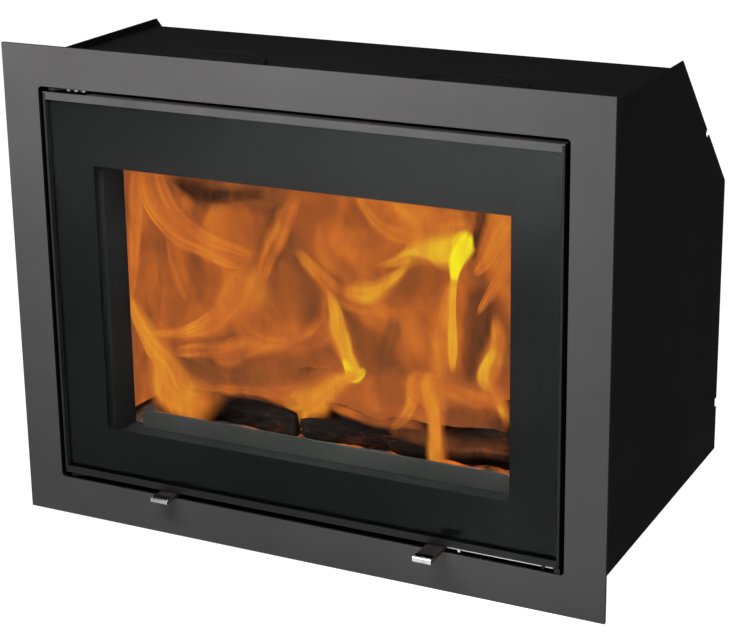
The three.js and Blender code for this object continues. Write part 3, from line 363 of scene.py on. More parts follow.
metalValues = {
    "frameSteel": {
        "dark": (0.042, 0.0408, 0.0411), "pale": (0.051, 0.0496, 0.0499), "patch": 7, "grain": 900,
        "metallic": 0.3, "rough": (0.44, 0.56), "gloss": 0.05, "bump": 0.12,
    },
    # painted shade: near-black for the frame plate's edge faces, darker than the lamps leave them
    "cutEdge": {
        "dark": (0.003, 0.003, 0.003), "pale": (0.006, 0.006, 0.006), "patch": 20, "grain": 900,
        "metallic": 0, "rough": (0.7, 0.8), "gloss": 0.05, "bump": 0.1,
    },
    "casingPaint": {
        "dark": (0.0045, 0.0045, 0.0046), "pale": (0.007, 0.007, 0.007), "patch": 9, "grain": 700,
        "metallic": 0, "rough": (0.72, 0.86), "gloss": 0.012, "bump": 0.1,
    },
    "fireboxPaint": {
        "dark": (0.008, 0.0075, 0.007), "pale": (0.02, 0.018, 0.016), "patch": 14, "grain": 500,
        "metallic": 0, "rough": (0.7, 0.9), "gloss": 0.2, "bump": 0.25,
    },
    "doorPaint": {
        "dark": (0.006, 0.006, 0.006), "pale": (0.011, 0.0105, 0.0105), "patch": 20, "grain": 900,
        "metallic": 0.1, "rough": (0.5, 0.65), "gloss": 0.12, "bump": 0.08,
    },
    "rimSteel": {
        "dark": (0.034, 0.035, 0.0338), "pale": (0.045, 0.046, 0.0446), "patch": 16, "grain": 900,
        "metallic": 0.4, "rough": (0.42, 0.55), "gloss": 0.25, "bump": 0.08,
    },
    # painted light: a purplish copy of the rim steel for the top bar's upward face, the tone it shows where
    # it catches light
    "rimTop": {
        "dark": (0.034, 0.029, 0.032), "pale": (0.044, 0.038, 0.041), "patch": 16, "grain": 900,
        "metallic": 0.1, "rough": (0.55, 0.7), "gloss": 0.15, "bump": 0.08,
    },
    "zincSteel": {
        "dark": (0.33, 0.33, 0.33), "pale": (0.5, 0.5, 0.49), "patch": 60, "grain": 400,
        "metallic": 0.9, "rough": (0.35, 0.55), "gloss": 0.5, "bump": 0.1,
    },
    "brightSteel": {
        "dark": (0.28, 0.28, 0.28), "pale": (0.42, 0.42, 0.41), "patch": 30, "grain": 800,
        "metallic": 1, "rough": (0.2, 0.34), "gloss": 0.5, "bump": 0.05,
    },
    "lobeSteel": {
        "dark": (0.12, 0.12, 0.12), "pale": (0.20, 0.20, 0.195), "patch": 60, "grain": 800,
        "metallic": 0.8, "rough": (0.3, 0.45), "gloss": 0.4, "bump": 0.05,
    },
    "chromePlate": {
        "dark": (0.26, 0.26, 0.265), "pale": (0.44, 0.44, 0.45), "patch": 110, "grain": 900,
        "metallic": 1, "rough": (0.08, 0.16), "gloss": 0.5, "bump": 0.02,
    },
    "guardSteel": {
        "dark": (0.026, 0.027, 0.0255), "pale": (0.037, 0.0385, 0.0365), "patch": 14, "grain": 700,
        "metallic": 0.3, "rough": (0.5, 0.62), "gloss": 0.15, "bump": 0.12,
    },
    # painted shade: a darker copy of the rim steel for the door's bottom bar
    "rimDark": {
        "dark": (0.0065, 0.0068, 0.0065), "pale": (0.010, 0.0104, 0.010), "patch": 16, "grain": 900,
        "metallic": 0.3, "rough": (0.45, 0.55), "gloss": 0.15, "bump": 0.08,
    },
    "handlePaint": {
        "dark": (0.016, 0.0125, 0.0125), "pale": (0.026, 0.021, 0.021), "patch": 60, "grain": 900,
        "metallic": 0.2, "rough": (0.4, 0.55), "gloss": 0.35, "bump": 0.08,
    },
    # painted light: a cool tint in the jamb's paint cancels the fire's warm light falling on it
    "mouthPaint": {
        "dark": (0.0088, 0.0094, 0.0098), "pale": (0.0160, 0.0168, 0.0172), "patch": 14, "grain": 500,
        "metallic": 0, "rough": (0.75, 0.9), "gloss": 0.03, "bump": 0.2,
    },
    "castIron": {
        "dark": (0.022, 0.021, 0.02), "pale": (0.05, 0.047, 0.044), "patch": 25, "grain": 260,
        "metallic": 0.3, "rough": (0.55, 0.75), "gloss": 0.4, "bump": 0.5,
    },
}
coatTexture = {
    "patchFrom": 0.3, "patchTo": 0.7, "grainFrom": 0.25, "grainTo": 0.75, "grainShade": (0.8, 0.8, 0.8),
    "grainAmount": 0.6, "grainHeight": 0.0004,
}


def coatedMetal(name, values, coat):
    material, tree, shader = startMaterial(name)
    patches = clouds(tree, values["patch"], Detail=4, Roughness=0.6)
    grain = clouds(tree, values["grain"], Detail=2)
    patchColour = ramp(tree, patches, (coat["patchFrom"], values["dark"]), (coat["patchTo"], values["pale"]))
    grainColour = ramp(tree, grain, (coat["grainFrom"], coat["grainShade"]), (coat["grainTo"], (1, 1, 1)))
    colour = blendColours(tree, "MULTIPLY", coat["grainAmount"], patchColour, grainColour)
    tree.links.new(colour, shader.inputs["Base Color"])
    rough = mapRange(tree, patches, coat["patchFrom"], coat["patchTo"], *values["rough"])
    tree.links.new(rough, shader.inputs["Roughness"])
    setInputs(shader, {"Metallic": values["metallic"], "Specular IOR Level": values["gloss"]})
    bumpFrom(tree, shader, grain, values["bump"], coat["grainHeight"])
    return material


metals = {name: coatedMetal(name, values, coatTexture) for name, values in metalValues.items()}

boardValues = {
    "pale": (0.30, 0.225, 0.16), "dark": (0.13, 0.095, 0.068), "flake": 260, "rough": 0.93, "gloss": 0.15,
    "soot": (0.16, 0.14, 0.13), "sootPatch": 11, "sootFrom": 0.36, "sootTo": 0.62, "sootAmount": 0.85,
    "bump": 0.5, "height": 0.0006,
}


def pressedBoard(name, values):
    material, tree, shader = startMaterial(name)
    flakes = texture(tree, "ShaderNodeTexVoronoi", values["flake"], Randomness=1).outputs["Distance"]
    stains = clouds(tree, values["sootPatch"], Detail=5, Roughness=0.65)
    bare = ramp(tree, flakes, (0.1, values["pale"]), (0.7, values["dark"]))
    sooted = ramp(tree, stains, (values["sootFrom"], values["soot"]), (values["sootTo"], (1, 1, 1)))
    colour = blendColours(tree, "MULTIPLY", values["sootAmount"], bare, sooted)
    setSurface(tree, shader, colour, values["rough"], values["gloss"])
    bumpFrom(tree, shader, flakes, values["bump"], values["height"])
    return material


glassValues = {  # the sheen is on the print behind the pane
    "Base Color": (0.98, 0.99, 0.985, 1), "Transmission Weight": 1, "Roughness": 0, "IOR": 1.0,
}


def clearGlass(name, values):
    material, tree, shader = startMaterial(name)
    setInputs(shader, values)
    return material


enamelValues = {
    "dark": (0.0008, 0.0009, 0.00085), "pale": (0.0016, 0.0018, 0.0017), "patch": 5,
    "rough": 0.14, "gloss": 0.065,
}


def printedEnamel(name, values):
    material, tree, shader = startMaterial(name)
    patches = clouds(tree, values["patch"], Detail=3)
    tone = ramp(tree, patches, (0.3, values["dark"]), (0.7, values["pale"]))
    setSurface(tree, shader, tone, values["rough"], values["gloss"])
    return material


ropeValues = {
    "pale": (0.34, 0.31, 0.27), "dark": (0.07, 0.062, 0.055), "plait": 260, "twist": 2.0, "rough": 0.95,
    "bump": 0.8, "height": 0.0008,
}


def wovenRope(name, values):
    material, tree, shader = startMaterial(name)
    wave = texture(tree, "ShaderNodeTexWave", values["plait"], Distortion=values["twist"], Detail=1)
    plait = wave.outputs["Fac"]
    tone = ramp(tree, plait, (0.2, values["dark"]), (0.75, values["pale"]))
    setSurface(tree, shader, tone, values["rough"])
    bumpFrom(tree, shader, plait, values["bump"], values["height"])
    return material


barkValues = {
    "char": (0.002, 0.0016, 0.0015), "brown": (0.007, 0.004, 0.0028), "ash": (0.016, 0.012, 0.009),
    "crack": 85, "crackStretch": (0.28, 1, 1), "crackWidth": 0.12, "crackShade": (0.15, 0.12, 0.1),
    "crackAmount": 0.9, "patch": 28, "patchStretch": (0.4, 1, 1), "rough": 0.92, "gloss": 0.08,
    "glow": (1.0, 0.22, 0.03), "glowPatch": 16, "glowFrom": (0.52, 0.66), "glowDepth": 0.07,
    "glowStrength": 0.12, "bump": 0.7, "height": 0.002,
}


def charredWood(name, values):
    material, tree, shader = startMaterial(name)
    net = texture(tree, "ShaderNodeTexVoronoi", values["crack"], values["crackStretch"], Randomness=0.9)
    net.feature = "DISTANCE_TO_EDGE"
    cracks = net.outputs["Distance"]
    patches = clouds(tree, values["patch"], values["patchStretch"], Detail=6, Roughness=0.7)
    wood = ramp(tree, patches, (0.35, values["char"]), (0.55, values["brown"]), (0.74, values["ash"]))
    lines = ramp(tree, cracks, (0.0, values["crackShade"]), (values["crackWidth"], (1, 1, 1)))
    colour = blendColours(tree, "MULTIPLY", values["crackAmount"], wood, lines)
    setSurface(tree, shader, colour, values["rough"], values["gloss"])
    hot = clouds(tree, values["glowPatch"], Detail=3, Roughness=0.6)
    seam = mapRange(tree, cracks, values["glowDepth"], 0, 0, 1)
    place = mapRange(tree, hot, *values["glowFrom"], 0, 1)
    glow = maths(tree, "MULTIPLY", maths(tree, "MULTIPLY", seam, place), values["glowStrength"])
    setGlow(tree, shader, values["glow"], glow)
    bumpFrom(tree, shader, cracks, values["bump"], values["height"])
    return material


coalFinish = {
    "char": (0.010, 0.008, 0.008), "ash": (0.07, 0.055, 0.045), "crust": 70, "rough": 0.95,
    "glow": (1.0, 0.22, 0.02), "glowPatch": 22, "glowFrom": (0.48, 0.66), "glowStrength": 0.7,
    "bump": 0.6, "height": 0.002,
}


def glowingCoal(name, values):
    material, tree, shader = startMaterial(name)
    crust = clouds(tree, values["crust"], Detail=5, Roughness=0.7)
    hot = clouds(tree, values["glowPatch"], Detail=3, Roughness=0.6)
    tone = ramp(tree, crust, (0.42, values["char"]), (0.68, values["ash"]))
    setSurface(tree, shader, tone, values["rough"])
    glow = mapRange(tree, hot, *values["glowFrom"], 0, values["glowStrength"])
    setGlow(tree, shader, values["glow"], glow)
    bumpFrom(tree, shader, crust, values["bump"], values["height"])
    return material


flameColours = (  # from the coolest to the hottest
    (0.00, (0.022, 0.009, 0.007)),
    (0.16, (0.085, 0.030, 0.015)),
    (0.30, (0.240, 0.072, 0.022)),
    (0.42, (0.400, 0.100, 0.024)),
    (0.52, (0.600, 0.150, 0.026)),
    (0.62, (0.720, 0.235, 0.026)),
    (0.74, (0.780, 0.360, 0.028)),
    (0.88, (0.870, 0.600, 0.022)),
    (1.00, (0.950, 0.800, 0.020)),
)
gasSurface = {"Base Color": (0, 0, 0, 1), "Roughness": 1, "Specular IOR Level": 0}
flameTexture = {
    "cloud": 16, "cloudStretch": (1, 1, 0.55), "streak": 48, "streakStretch": (1, 1, 0.3),
    "middle": (0.3, 0.7), "veil": (0.72, 1.18),
}
fireLights = {
    "glowLight": {"brightness": 0.9, "flicker": 0.14},
    "flameLight": {"brightness": 1.0, "flicker": 0.08},
}


def attributeOf(tree, label):
    attribute = tree.nodes.new("ShaderNodeAttribute")
    attribute.attribute_name = label
    return attribute.outputs["Fac"]


def flameMaterial(name, light, values):
    material, tree, shader = startMaterial(name)
    billows = clouds(tree, values["cloud"], values["cloudStretch"], Detail=3, Distortion=0.6)
    streaks = clouds(tree, values["streak"], values["streakStretch"], Detail=2, Distortion=1.2)
    change = mapRange(tree, billows, *values["middle"], -light["flicker"], light["flicker"])
    glow = maths(tree, "ADD", attributeOf(tree, "warmth"), change)
    setInputs(shader, {**gasSurface, "Emission Strength": light["brightness"]})
    tree.links.new(ramp(tree, glow, *flameColours), shader.inputs["Emission Color"])
    veil = mapRange(tree, streaks, *values["middle"], *values["veil"])
    tree.links.new(maths(tree, "MULTIPLY", attributeOf(tree, "thickness"), veil), shader.inputs["Alpha"])
    return material


board = pressedBoard("pressedBoard", boardValues)
glass = clearGlass("clearGlass", glassValues)
enamel = printedEnamel("printedEnamel", enamelValues)
rope = wovenRope("wovenRope", ropeValues)
bark = charredWood("charredWood", barkValues)
coal = glowingCoal("glowingCoal", coalFinish)
print("materials made")

# CAD nodes that keep their shape

plainNodes = {
    "fireboxPaint": (
        "firebox_side_left", "firebox_side_right", "firebox_top", "firebox_slope", "firebox_back",
        "firebox_floor", "ash_and_air_box",
    ),
    "casingPaint": ("casing_bottom",),
    "zincSteel": ("ash_pan", "air_slide"),
    "castIron": ("smoke_deflector",),
    "doorPaint": ("bolt_keeper", "hinge_washer"),
}
for finish, names in plainNodes.items():
    finishNodes(metals[finish], *names)
finishNodes(glass, "door_glass")
finishNodes(enamel, "glass_print")
finishNodes(rope, "glass_tape")
nodes["door_glass"].visible_shadow = False  # the lamps light the firebox through the pane
print("CAD nodes finished")

# pieces with worked edges, each in place of its CAD node

footCorners = ("front_left", "front_right", "rear_left", "rear_right")
# the width in millimetres taken off each edge, finish, slot, and the body where it isn't the casing
edgedPieces = {
    "surround_frame": (0.4, "frameSteel", "frame_steel"),
    "casing_side_left": (0.4, "casingPaint", "casing_paint"),
    "casing_side_right": (0.4, "casingPaint", "casing_paint"),
    "casing_top": (0.4, "casingPaint", "casing_paint"),
    "casing_slope": (0.4, "casingPaint", "casing_paint"),
    "casing_back": (0.4, "casingPaint", "casing_paint"),
    "hot_air_cover_left": (0.5, "casingPaint", "casing_paint"),
    "hot_air_cover_right": (0.5, "casingPaint", "casing_paint"),
    "firebox_front": (0.7, "mouthPaint", "firebox_paint"),
    "log_guard": (0.6, "guardSteel", "cast_iron"),
    "grate": (1, "castIron", "cast_iron"),
    "side_liner_left": (1.5, "board", "fireboard"),
    "side_liner_right": (1.5, "board", "fireboard"),
    **{"hearth_slab_" + side: (1.5, "board", "fireboard") for side in ("front", "rear", "left", "right")},
    "rear_liner": (1.5, "board", "fireboard"),
    "baffle": (1.5, "board", "fireboard"),
    "flue_socket": (0.8, "zincSteel", "zinc_steel"),
    "hinge_pin_top": (0.6, "doorPaint", "bright_steel"),
    "hinge_pin_bottom": (0.6, "doorPaint", "bright_steel"),
    "bolt_guide_left": (0.4, "brightSteel", "bright_steel", "door"),
    "bolt_guide_right": (0.4, "doorPaint", "bright_steel", "door"),
    **{"levelling_foot_" + corner: (0.6, "zincSteel", "zinc_steel") for corner in footCorners},
    "hinge_plate_top": (0.4, "lobeSteel", "bright_steel"),
    "hinge_plate_bottom": (0.4, "doorPaint", "door_paint"),
    "door_frame": (0.5, "doorPaint", "door_paint", "door"),
    "door_top_bar": (0.4, "rimSteel", "rim_steel", "door"),
    "door_bottom_bar": (0.4, "rimDark", "door_paint", "door"),
    "bolt_bar": (0.5, "brightSteel", "bright_steel", "door_bolt"),
    "bolt_handle": (0.7, "handlePaint", "door_paint", "door_bolt"),
    "bolt_handle_cap": (0.3, "chromePlate", "chrome", "door_bolt"),
    "air_tab": (0.7, "handlePaint", "door_paint", "air_control"),
    "air_tab_cap": (0.3, "chromePlate", "chrome", "air_control"),
}


def camelName(nodeName):  # levelling_foot_rear_left becomes footRearLeft
    first, *rest = nodeName.replace("levelling_", "").split("_")
    return first + "".join(word.capitalize() for word in rest)


def addEdgedPiece(node, edge, finish, slot, body="casing"):
    piece = copyOfNode(node, camelName(node))
    bevelEdges(piece, edge / 1000)
    dress(piece, board if finish == "board" else metals[finish], slot, body, node)
    return piece


edged = {node: addEdgedPiece(node, *values) for node, values in edgedPieces.items()}

facingValues = {"flat": 0.6, "front": 0.3}  # the least part of a face's normal that counts as facing that way
paintedShadeEnd = -0.316  # the hinge plate's faces left of this get painted shade; its lobes lie to the right of this


def addSecondFinish(piece, finish, belongs):
    piece.data.materials.append(metals[finish])
    for face in piece.data.polygons:
        face.material_index = 1 if belongs(face) else 0


def inPaintedShade(face):  # painted shade: door paint on all of the hinge plate but the front edge of its lobes
    return face.normal.y >= -facingValues["front"] or face.center.x <= paintedShadeEnd


# the frame plate's faces that face neither front nor back get the painted shade
addSecondFinish(edged["surround_frame"], "cutEdge", lambda face: abs(face.normal.y) < facingValues["flat"])
addSecondFinish(edged["door_top_bar"], "rimTop", lambda face: face.normal.z > facingValues["flat"])
# the hinge plate's shaded part is given door paint as painted shade
addSecondFinish(edged["hinge_plate_top"], "doorPaint", inPaintedShade)
print("edged pieces made:", len(edged))

# rope seal on the back of the door

sealValues = {"node": "door_seal", "round": 0.0024, "segments": 4}


def addSeal(values):
    piece = copyOfNode(values["node"], "doorSeal")
    bevelEdges(piece, values["round"], values["segments"])
    dress(piece, rope, "rope_seal", "door", values["node"])


addSeal(sealValues)
print("seal made")

# screws in the casing's rear panels and in the back of the door

screwValues = {
    "head": 0.0048, "height": 0.003, "sides": 6, "dishEdge": 0.35, "dishDepth": 0.00075,
    "washer": 0.0075, "washerHeight": 0.0008, "washerSides": 20, "edge": 0.0004,
}
screwTurn = 0.7  # each screw stands this much further round than the last, in radians
panelScrews = {"side": 0.357, "backHeights": (0.06, 0.165, 0.27, 0.375), "slopeParts": (0.14, 0.5, 0.86)}
doorScrews = {"across": (-0.255, -0.085, 0.085, 0.255), "inset": 0.0245, "size": 0.6}


def makeScrew(values):
    bpy.ops.object.select_all(action="DESELECT")
    bpy.ops.mesh.primitive_cylinder_add(
        vertices=values["sides"], radius=values["head"], depth=values["height"],
        location=(0, 0, values["washerHeight"] + values["height"] / 2),
    )
    head = bpy.context.object
    settle(head)
    editMesh(head, "DESELECT")
    bpy.ops.object.mode_set(mode="OBJECT")
    for face in head.data.polygons:
        face.select = face.normal.z > 0.9
    bpy.ops.object.mode_set(mode="EDIT")
    bpy.ops.mesh.inset(thickness=values["head"] * values["dishEdge"], depth=-values["dishDepth"])
    bpy.ops.object.mode_set(mode="OBJECT")
    bpy.ops.object.select_all(action="DESELECT")
    bpy.ops.mesh.primitive_cylinder_add(
        vertices=values["washerSides"], radius=values["washer"], depth=values["washerHeight"],
        location=(0, 0, values["washerHeight"] / 2),
    )
    washer = bpy.context.object
    settle(washer)
    screw = joinPieces([head, washer], "screw")
    bevelEdges(screw, values["edge"])
    return screw


def addScrews(name, screw, places, lean, size, finish, slot, body):
    copies = []
    for number, place in enumerate(places):
        copy = screw.copy()
        copy.data = screw.data.copy()
        bpy.context.collection.objects.link(copy)
        copy.location = place
        copy.scale = (size, size, size)
        turn = Matrix.Rotation(-math.radians(lean), 3, "X") @ Matrix.Rotation(number * screwTurn, 3, "Z")
        copy.rotation_euler = turn.to_euler()
        settle(copy)
        copies.append(copy)
    dress(joinPieces(copies, name), metals[finish], slot, body)


screw = makeScrew(screwValues)
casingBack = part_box("casing_back")[1].y
slope = nodes["casing_slope"]
slopePoints = [slope.matrix_world @ vertex.co for vertex in slope.data.vertices]
slopeFace = max(point.y + point.z for point in slopePoints)
slopeLow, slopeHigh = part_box("casing_slope")
backPlaces = [
    (side * panelScrews["side"], casingBack, z)
    for side in (-1, 1)
    for z in panelScrews["backHeights"]
]
slopePlaces = []
for side in (-1, 1):
    for part in panelScrews["slopeParts"]:
        y = slopeHigh.y + (slopeLow.y - slopeHigh.y) * part
        slopePlaces.append((side * panelScrews["side"], y, slopeFace - y))
addScrews("backScrews", screw, backPlaces, 90, 1, "zincSteel", "zinc_steel", "casing")
addScrews("slopeScrews", screw, slopePlaces, 45, 1, "zincSteel", "zinc_steel", "casing")
doorLow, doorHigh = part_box("door_frame")
doorPlaces = [
    (x, doorHigh.y, z)
    for x in doorScrews["across"]
    for z in (doorLow.z + doorScrews["inset"], doorHigh.z - doorScrews["inset"])
]
addScrews("doorScrews", screw, doorPlaces, 90, doorScrews["size"], "doorPaint", "door_paint", "door")
bpy.data.objects.remove(screw)
print("screws made")

# split logs and the bed of embers

logValues = {
    "logLeft": {"node": "log_left", "seed": 3.1, "lean": 14, "cleft": 0.30, "taper": 0.12},
    "logRight": {"node": "log_right", "seed": 8.4, "lean": -10, "cleft": 0.34, "taper": -0.10},
    "logRear": {"node": "log_rear", "seed": 5.7, "lean": 20, "cleft": 0.30, "taper": 0.06},
}
charTextures = {
    "plates": {"kind": "VORONOI", "scale": 0.016, "strength": 0.0075, "middle": 0.35},
    "lumps": {"kind": "CLOUDS", "scale": 0.045, "strength": 0.011, "middle": 0.5},
    "fibres": {"kind": "CLOUDS", "scale": 0.006, "strength": 0.0025, "middle": 0.5},
}
logShape = {
    "sides": 18, "flatBottom": 0.32, "slackX": 0.008, "slackY": 0.004, "slackZ": 0.002,
    "wave": 0.007, "waveScale": 9, "lift": 0.004, "liftScale": 11, "fray": 0.009, "frayScale": 60,
    "pullBack": 0.004, "overhang": 0.001, "voxel": 0.0024, "stretch": 0.42,
}


def displace(piece, values):
    pattern = bpy.data.textures.new("pattern", values["kind"])
    pattern.noise_scale = values["scale"]
    push = piece.modifiers.new("push", "DISPLACE")
    push.texture = pattern
    push.texture_coords = "LOCAL"
    push.strength = values["strength"]
    push.mid_level = values["middle"]
    applyModifiers(piece)


def remesh(piece, voxel):
    net = piece.modifiers.new("net", "REMESH")
    net.mode = "VOXEL"
    net.voxel_size = voxel
    applyModifiers(piece)


def addLog(name, values, shape):
    low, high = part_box(values["node"])
    centre, size = (low + high) / 2, high - low
    bpy.ops.object.select_all(action="DESELECT")
    bpy.ops.mesh.primitive_cylinder_add(
        vertices=shape["sides"], radius=0.5, depth=1, rotation=(0, math.pi / 2, 0)
    )
    piece = bpy.context.object
    settle(piece)
    lean = math.radians(values["lean"])
    cuts = (  # the face that it was split along, and the one that it lies on
        (values["cleft"], (0, math.sin(lean), math.cos(lean))),
        (-shape["flatBottom"], (0, 0, -1)),
    )
    editMesh(piece, "SELECT")
    for height, facing in cuts:
        bpy.ops.mesh.select_all(action="SELECT")
        bpy.ops.mesh.bisect(plane_co=(0, 0, height), plane_no=facing, use_fill=True, clear_outer=True)
    bpy.ops.object.mode_set(mode="OBJECT")
    for vertex in piece.data.vertices:
        thin = 1 + values["taper"] * vertex.co.x
        vertex.co = Vector((vertex.co.x, vertex.co.y * thin, vertex.co.z * thin))
    tall = [vertex.co.z for vertex in piece.data.vertices]
    lowest, tallest = min(tall), max(tall)
    for vertex in piece.data.vertices:
        x = centre.x + vertex.co.x * (size.x - shape["slackX"])
        y = centre.y + vertex.co.y * (size.y - shape["slackY"])
        z = low.z + (vertex.co.z - lowest) / (tallest - lowest) * (size.z - shape["slackZ"])
        vertex.co = Vector((x, y, z))
    remesh(piece, shape["voxel"])
    offset = values["seed"]
    for vertex in piece.data.vertices:  # the ends are ragged and the length waves a little
        x, y, z = vertex.co
        side = x - centre.x
        wave = noiseAt(x * shape["waveScale"], offset, 0) * shape["wave"]
        lift = noiseAt(x * shape["liftScale"], 0, offset) * shape["lift"]
        fray = noiseAt(offset, y * shape["frayScale"], z * shape["frayScale"]) * shape["fray"]
        fray *= smoothStep(abs(side) / size.x * 2)
        back = shape["pullBack"] * math.copysign(1, side) * abs(fray) / shape["fray"]
        vertex.co = Vector((x + fray - back, y + wave, z + lift))
    for vertex in piece.data.vertices:
        vertex.co.x = vertex.co.x * shape["stretch"] + offset
    for pattern in charTextures.values():
        displace(piece, pattern)
    for vertex in piece.data.vertices:
        vertex.co.x = (vertex.co.x - offset) / shape["stretch"]
        vertex.co.z = max(vertex.co.z, low.z)
        vertex.co.x = min(max(vertex.co.x, low.x - shape["overhang"]), high.x + shape["overhang"])
    activate(piece)
    bpy.ops.object.shade_smooth()
    piece.name = piece.data.name = name
    dress(piece, bark, "firewood", "casing", values["node"])


bedValues = {"node": "ember_bed", "voxel": 0.0045}
bedTexture = {"kind": "CLOUDS", "scale": 0.02, "strength": 0.006, "middle": 0.62}
coalValues = {
    "count": 120, "small": 0.006, "large": 0.0135, "seed": 41, "kinds": 4, "lump": 0.34, "lumpScale": 1.3,
    "lumpStep": 7.3, "facet": 0.16, "facetScale": 1.1, "facetStep": 3.1, "turn": 6.28,
    "stretch": ((0.8, 1.35), (0.8, 1.2), (0.7, 1)),
    "frontInset": 0.6, "logClear": 0.5, "sunk": 0.35, "smoothAngle": 50,
}


def addBed(values):
    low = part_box(values["node"])[0]
    piece = copyOfNode(values["node"], "emberBed")
    remesh(piece, values["voxel"])
    displace(piece, bedTexture)
    for vertex in piece.data.vertices:
        vertex.co.z = max(vertex.co.z, low.z)
    activate(piece)
    bpy.ops.object.shade_smooth()
    dress(piece, coal, "embers", "casing", values["node"])


def makeLump(values, kind):
    bpy.ops.object.select_all(action="DESELECT")
    bpy.ops.mesh.primitive_ico_sphere_add(subdivisions=2, radius=1)
    lump = bpy.context.object
    for vertex in lump.data.vertices:
        push = noise.noise(vertex.co * values["lumpScale"] + Vector((kind * values["lumpStep"], 0, 0)))
        facet = noise.cell(vertex.co * values["facetScale"] + Vector((0, kind * values["facetStep"], 0)))
        vertex.co *= 1 + values["lump"] * push - values["facet"] * facet
    return lump


def addCoals(values, logs):
    low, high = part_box("ember_bed")
    boxes = [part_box(log["node"]) for log in logs.values()]
    chance = random.Random(values["seed"])
    kinds = [makeLump(values, kind) for kind in range(values["kinds"])]
    lumps = []
    while len(lumps) < values["count"]:
        radius = chance.uniform(values["small"], values["large"])
        x = chance.uniform(low.x + radius, high.x - radius)
        y = chance.uniform(low.y + radius * values["frontInset"], high.y - radius)
        turn = [chance.uniform(0, values["turn"]) for _ in range(3)]
        stretch = [chance.uniform(*limits) for limits in values["stretch"]]
        near = radius * values["logClear"]
        if any(a.x - near < x < b.x + near and a.y - near < y < b.y + near for a, b in boxes):
            continue
        lump = kinds[len(lumps) % values["kinds"]].copy()
        lump.data = lump.data.copy()
        bpy.context.collection.objects.link(lump)
        lump.rotation_euler = turn
        lump.scale = [radius * part for part in stretch]
        lump.location = (x, y, high.z + radius * values["sunk"])
        settle(lump)
        lumps.append(lump)
    for lump in kinds:
        bpy.data.objects.remove(lump)
    coals = joinPieces(lumps, "coals")
    activate(coals)
    bpy.ops.object.shade_smooth_by_angle(angle=math.radians(values["smoothAngle"]))
    dress(coals, coal, "embers", "casing")


for name, values in logValues.items():
    addLog(name, values, logShape)
addBed(bedValues)
addCoals(coalValues, logValues)
print("logs and embers made")

# the fire

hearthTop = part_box("hearth_slab_front")[1].z
millimetre = 0.001
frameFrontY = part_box("surround_frame")[0].y


def alongLine(points, part):  # a smooth line through the points, part from 0 to 1
    count = len(points) - 1
    place = min(part * count, count - 1e-6)
    index = int(place)
    t = place - index
    before = points[max(index - 1, 0)]
    start, end = points[index], points[index + 1]
    after = points[min(index + 2, count)]
    return [
        0.5 * (2 * b + (c - a) * t + (2 * a - 5 * b + 4 * c - d) * t * t + (3 * b - a - 3 * c + d) * t**3)
        for a, b, c, d in zip(before, start, end, after)
    ]


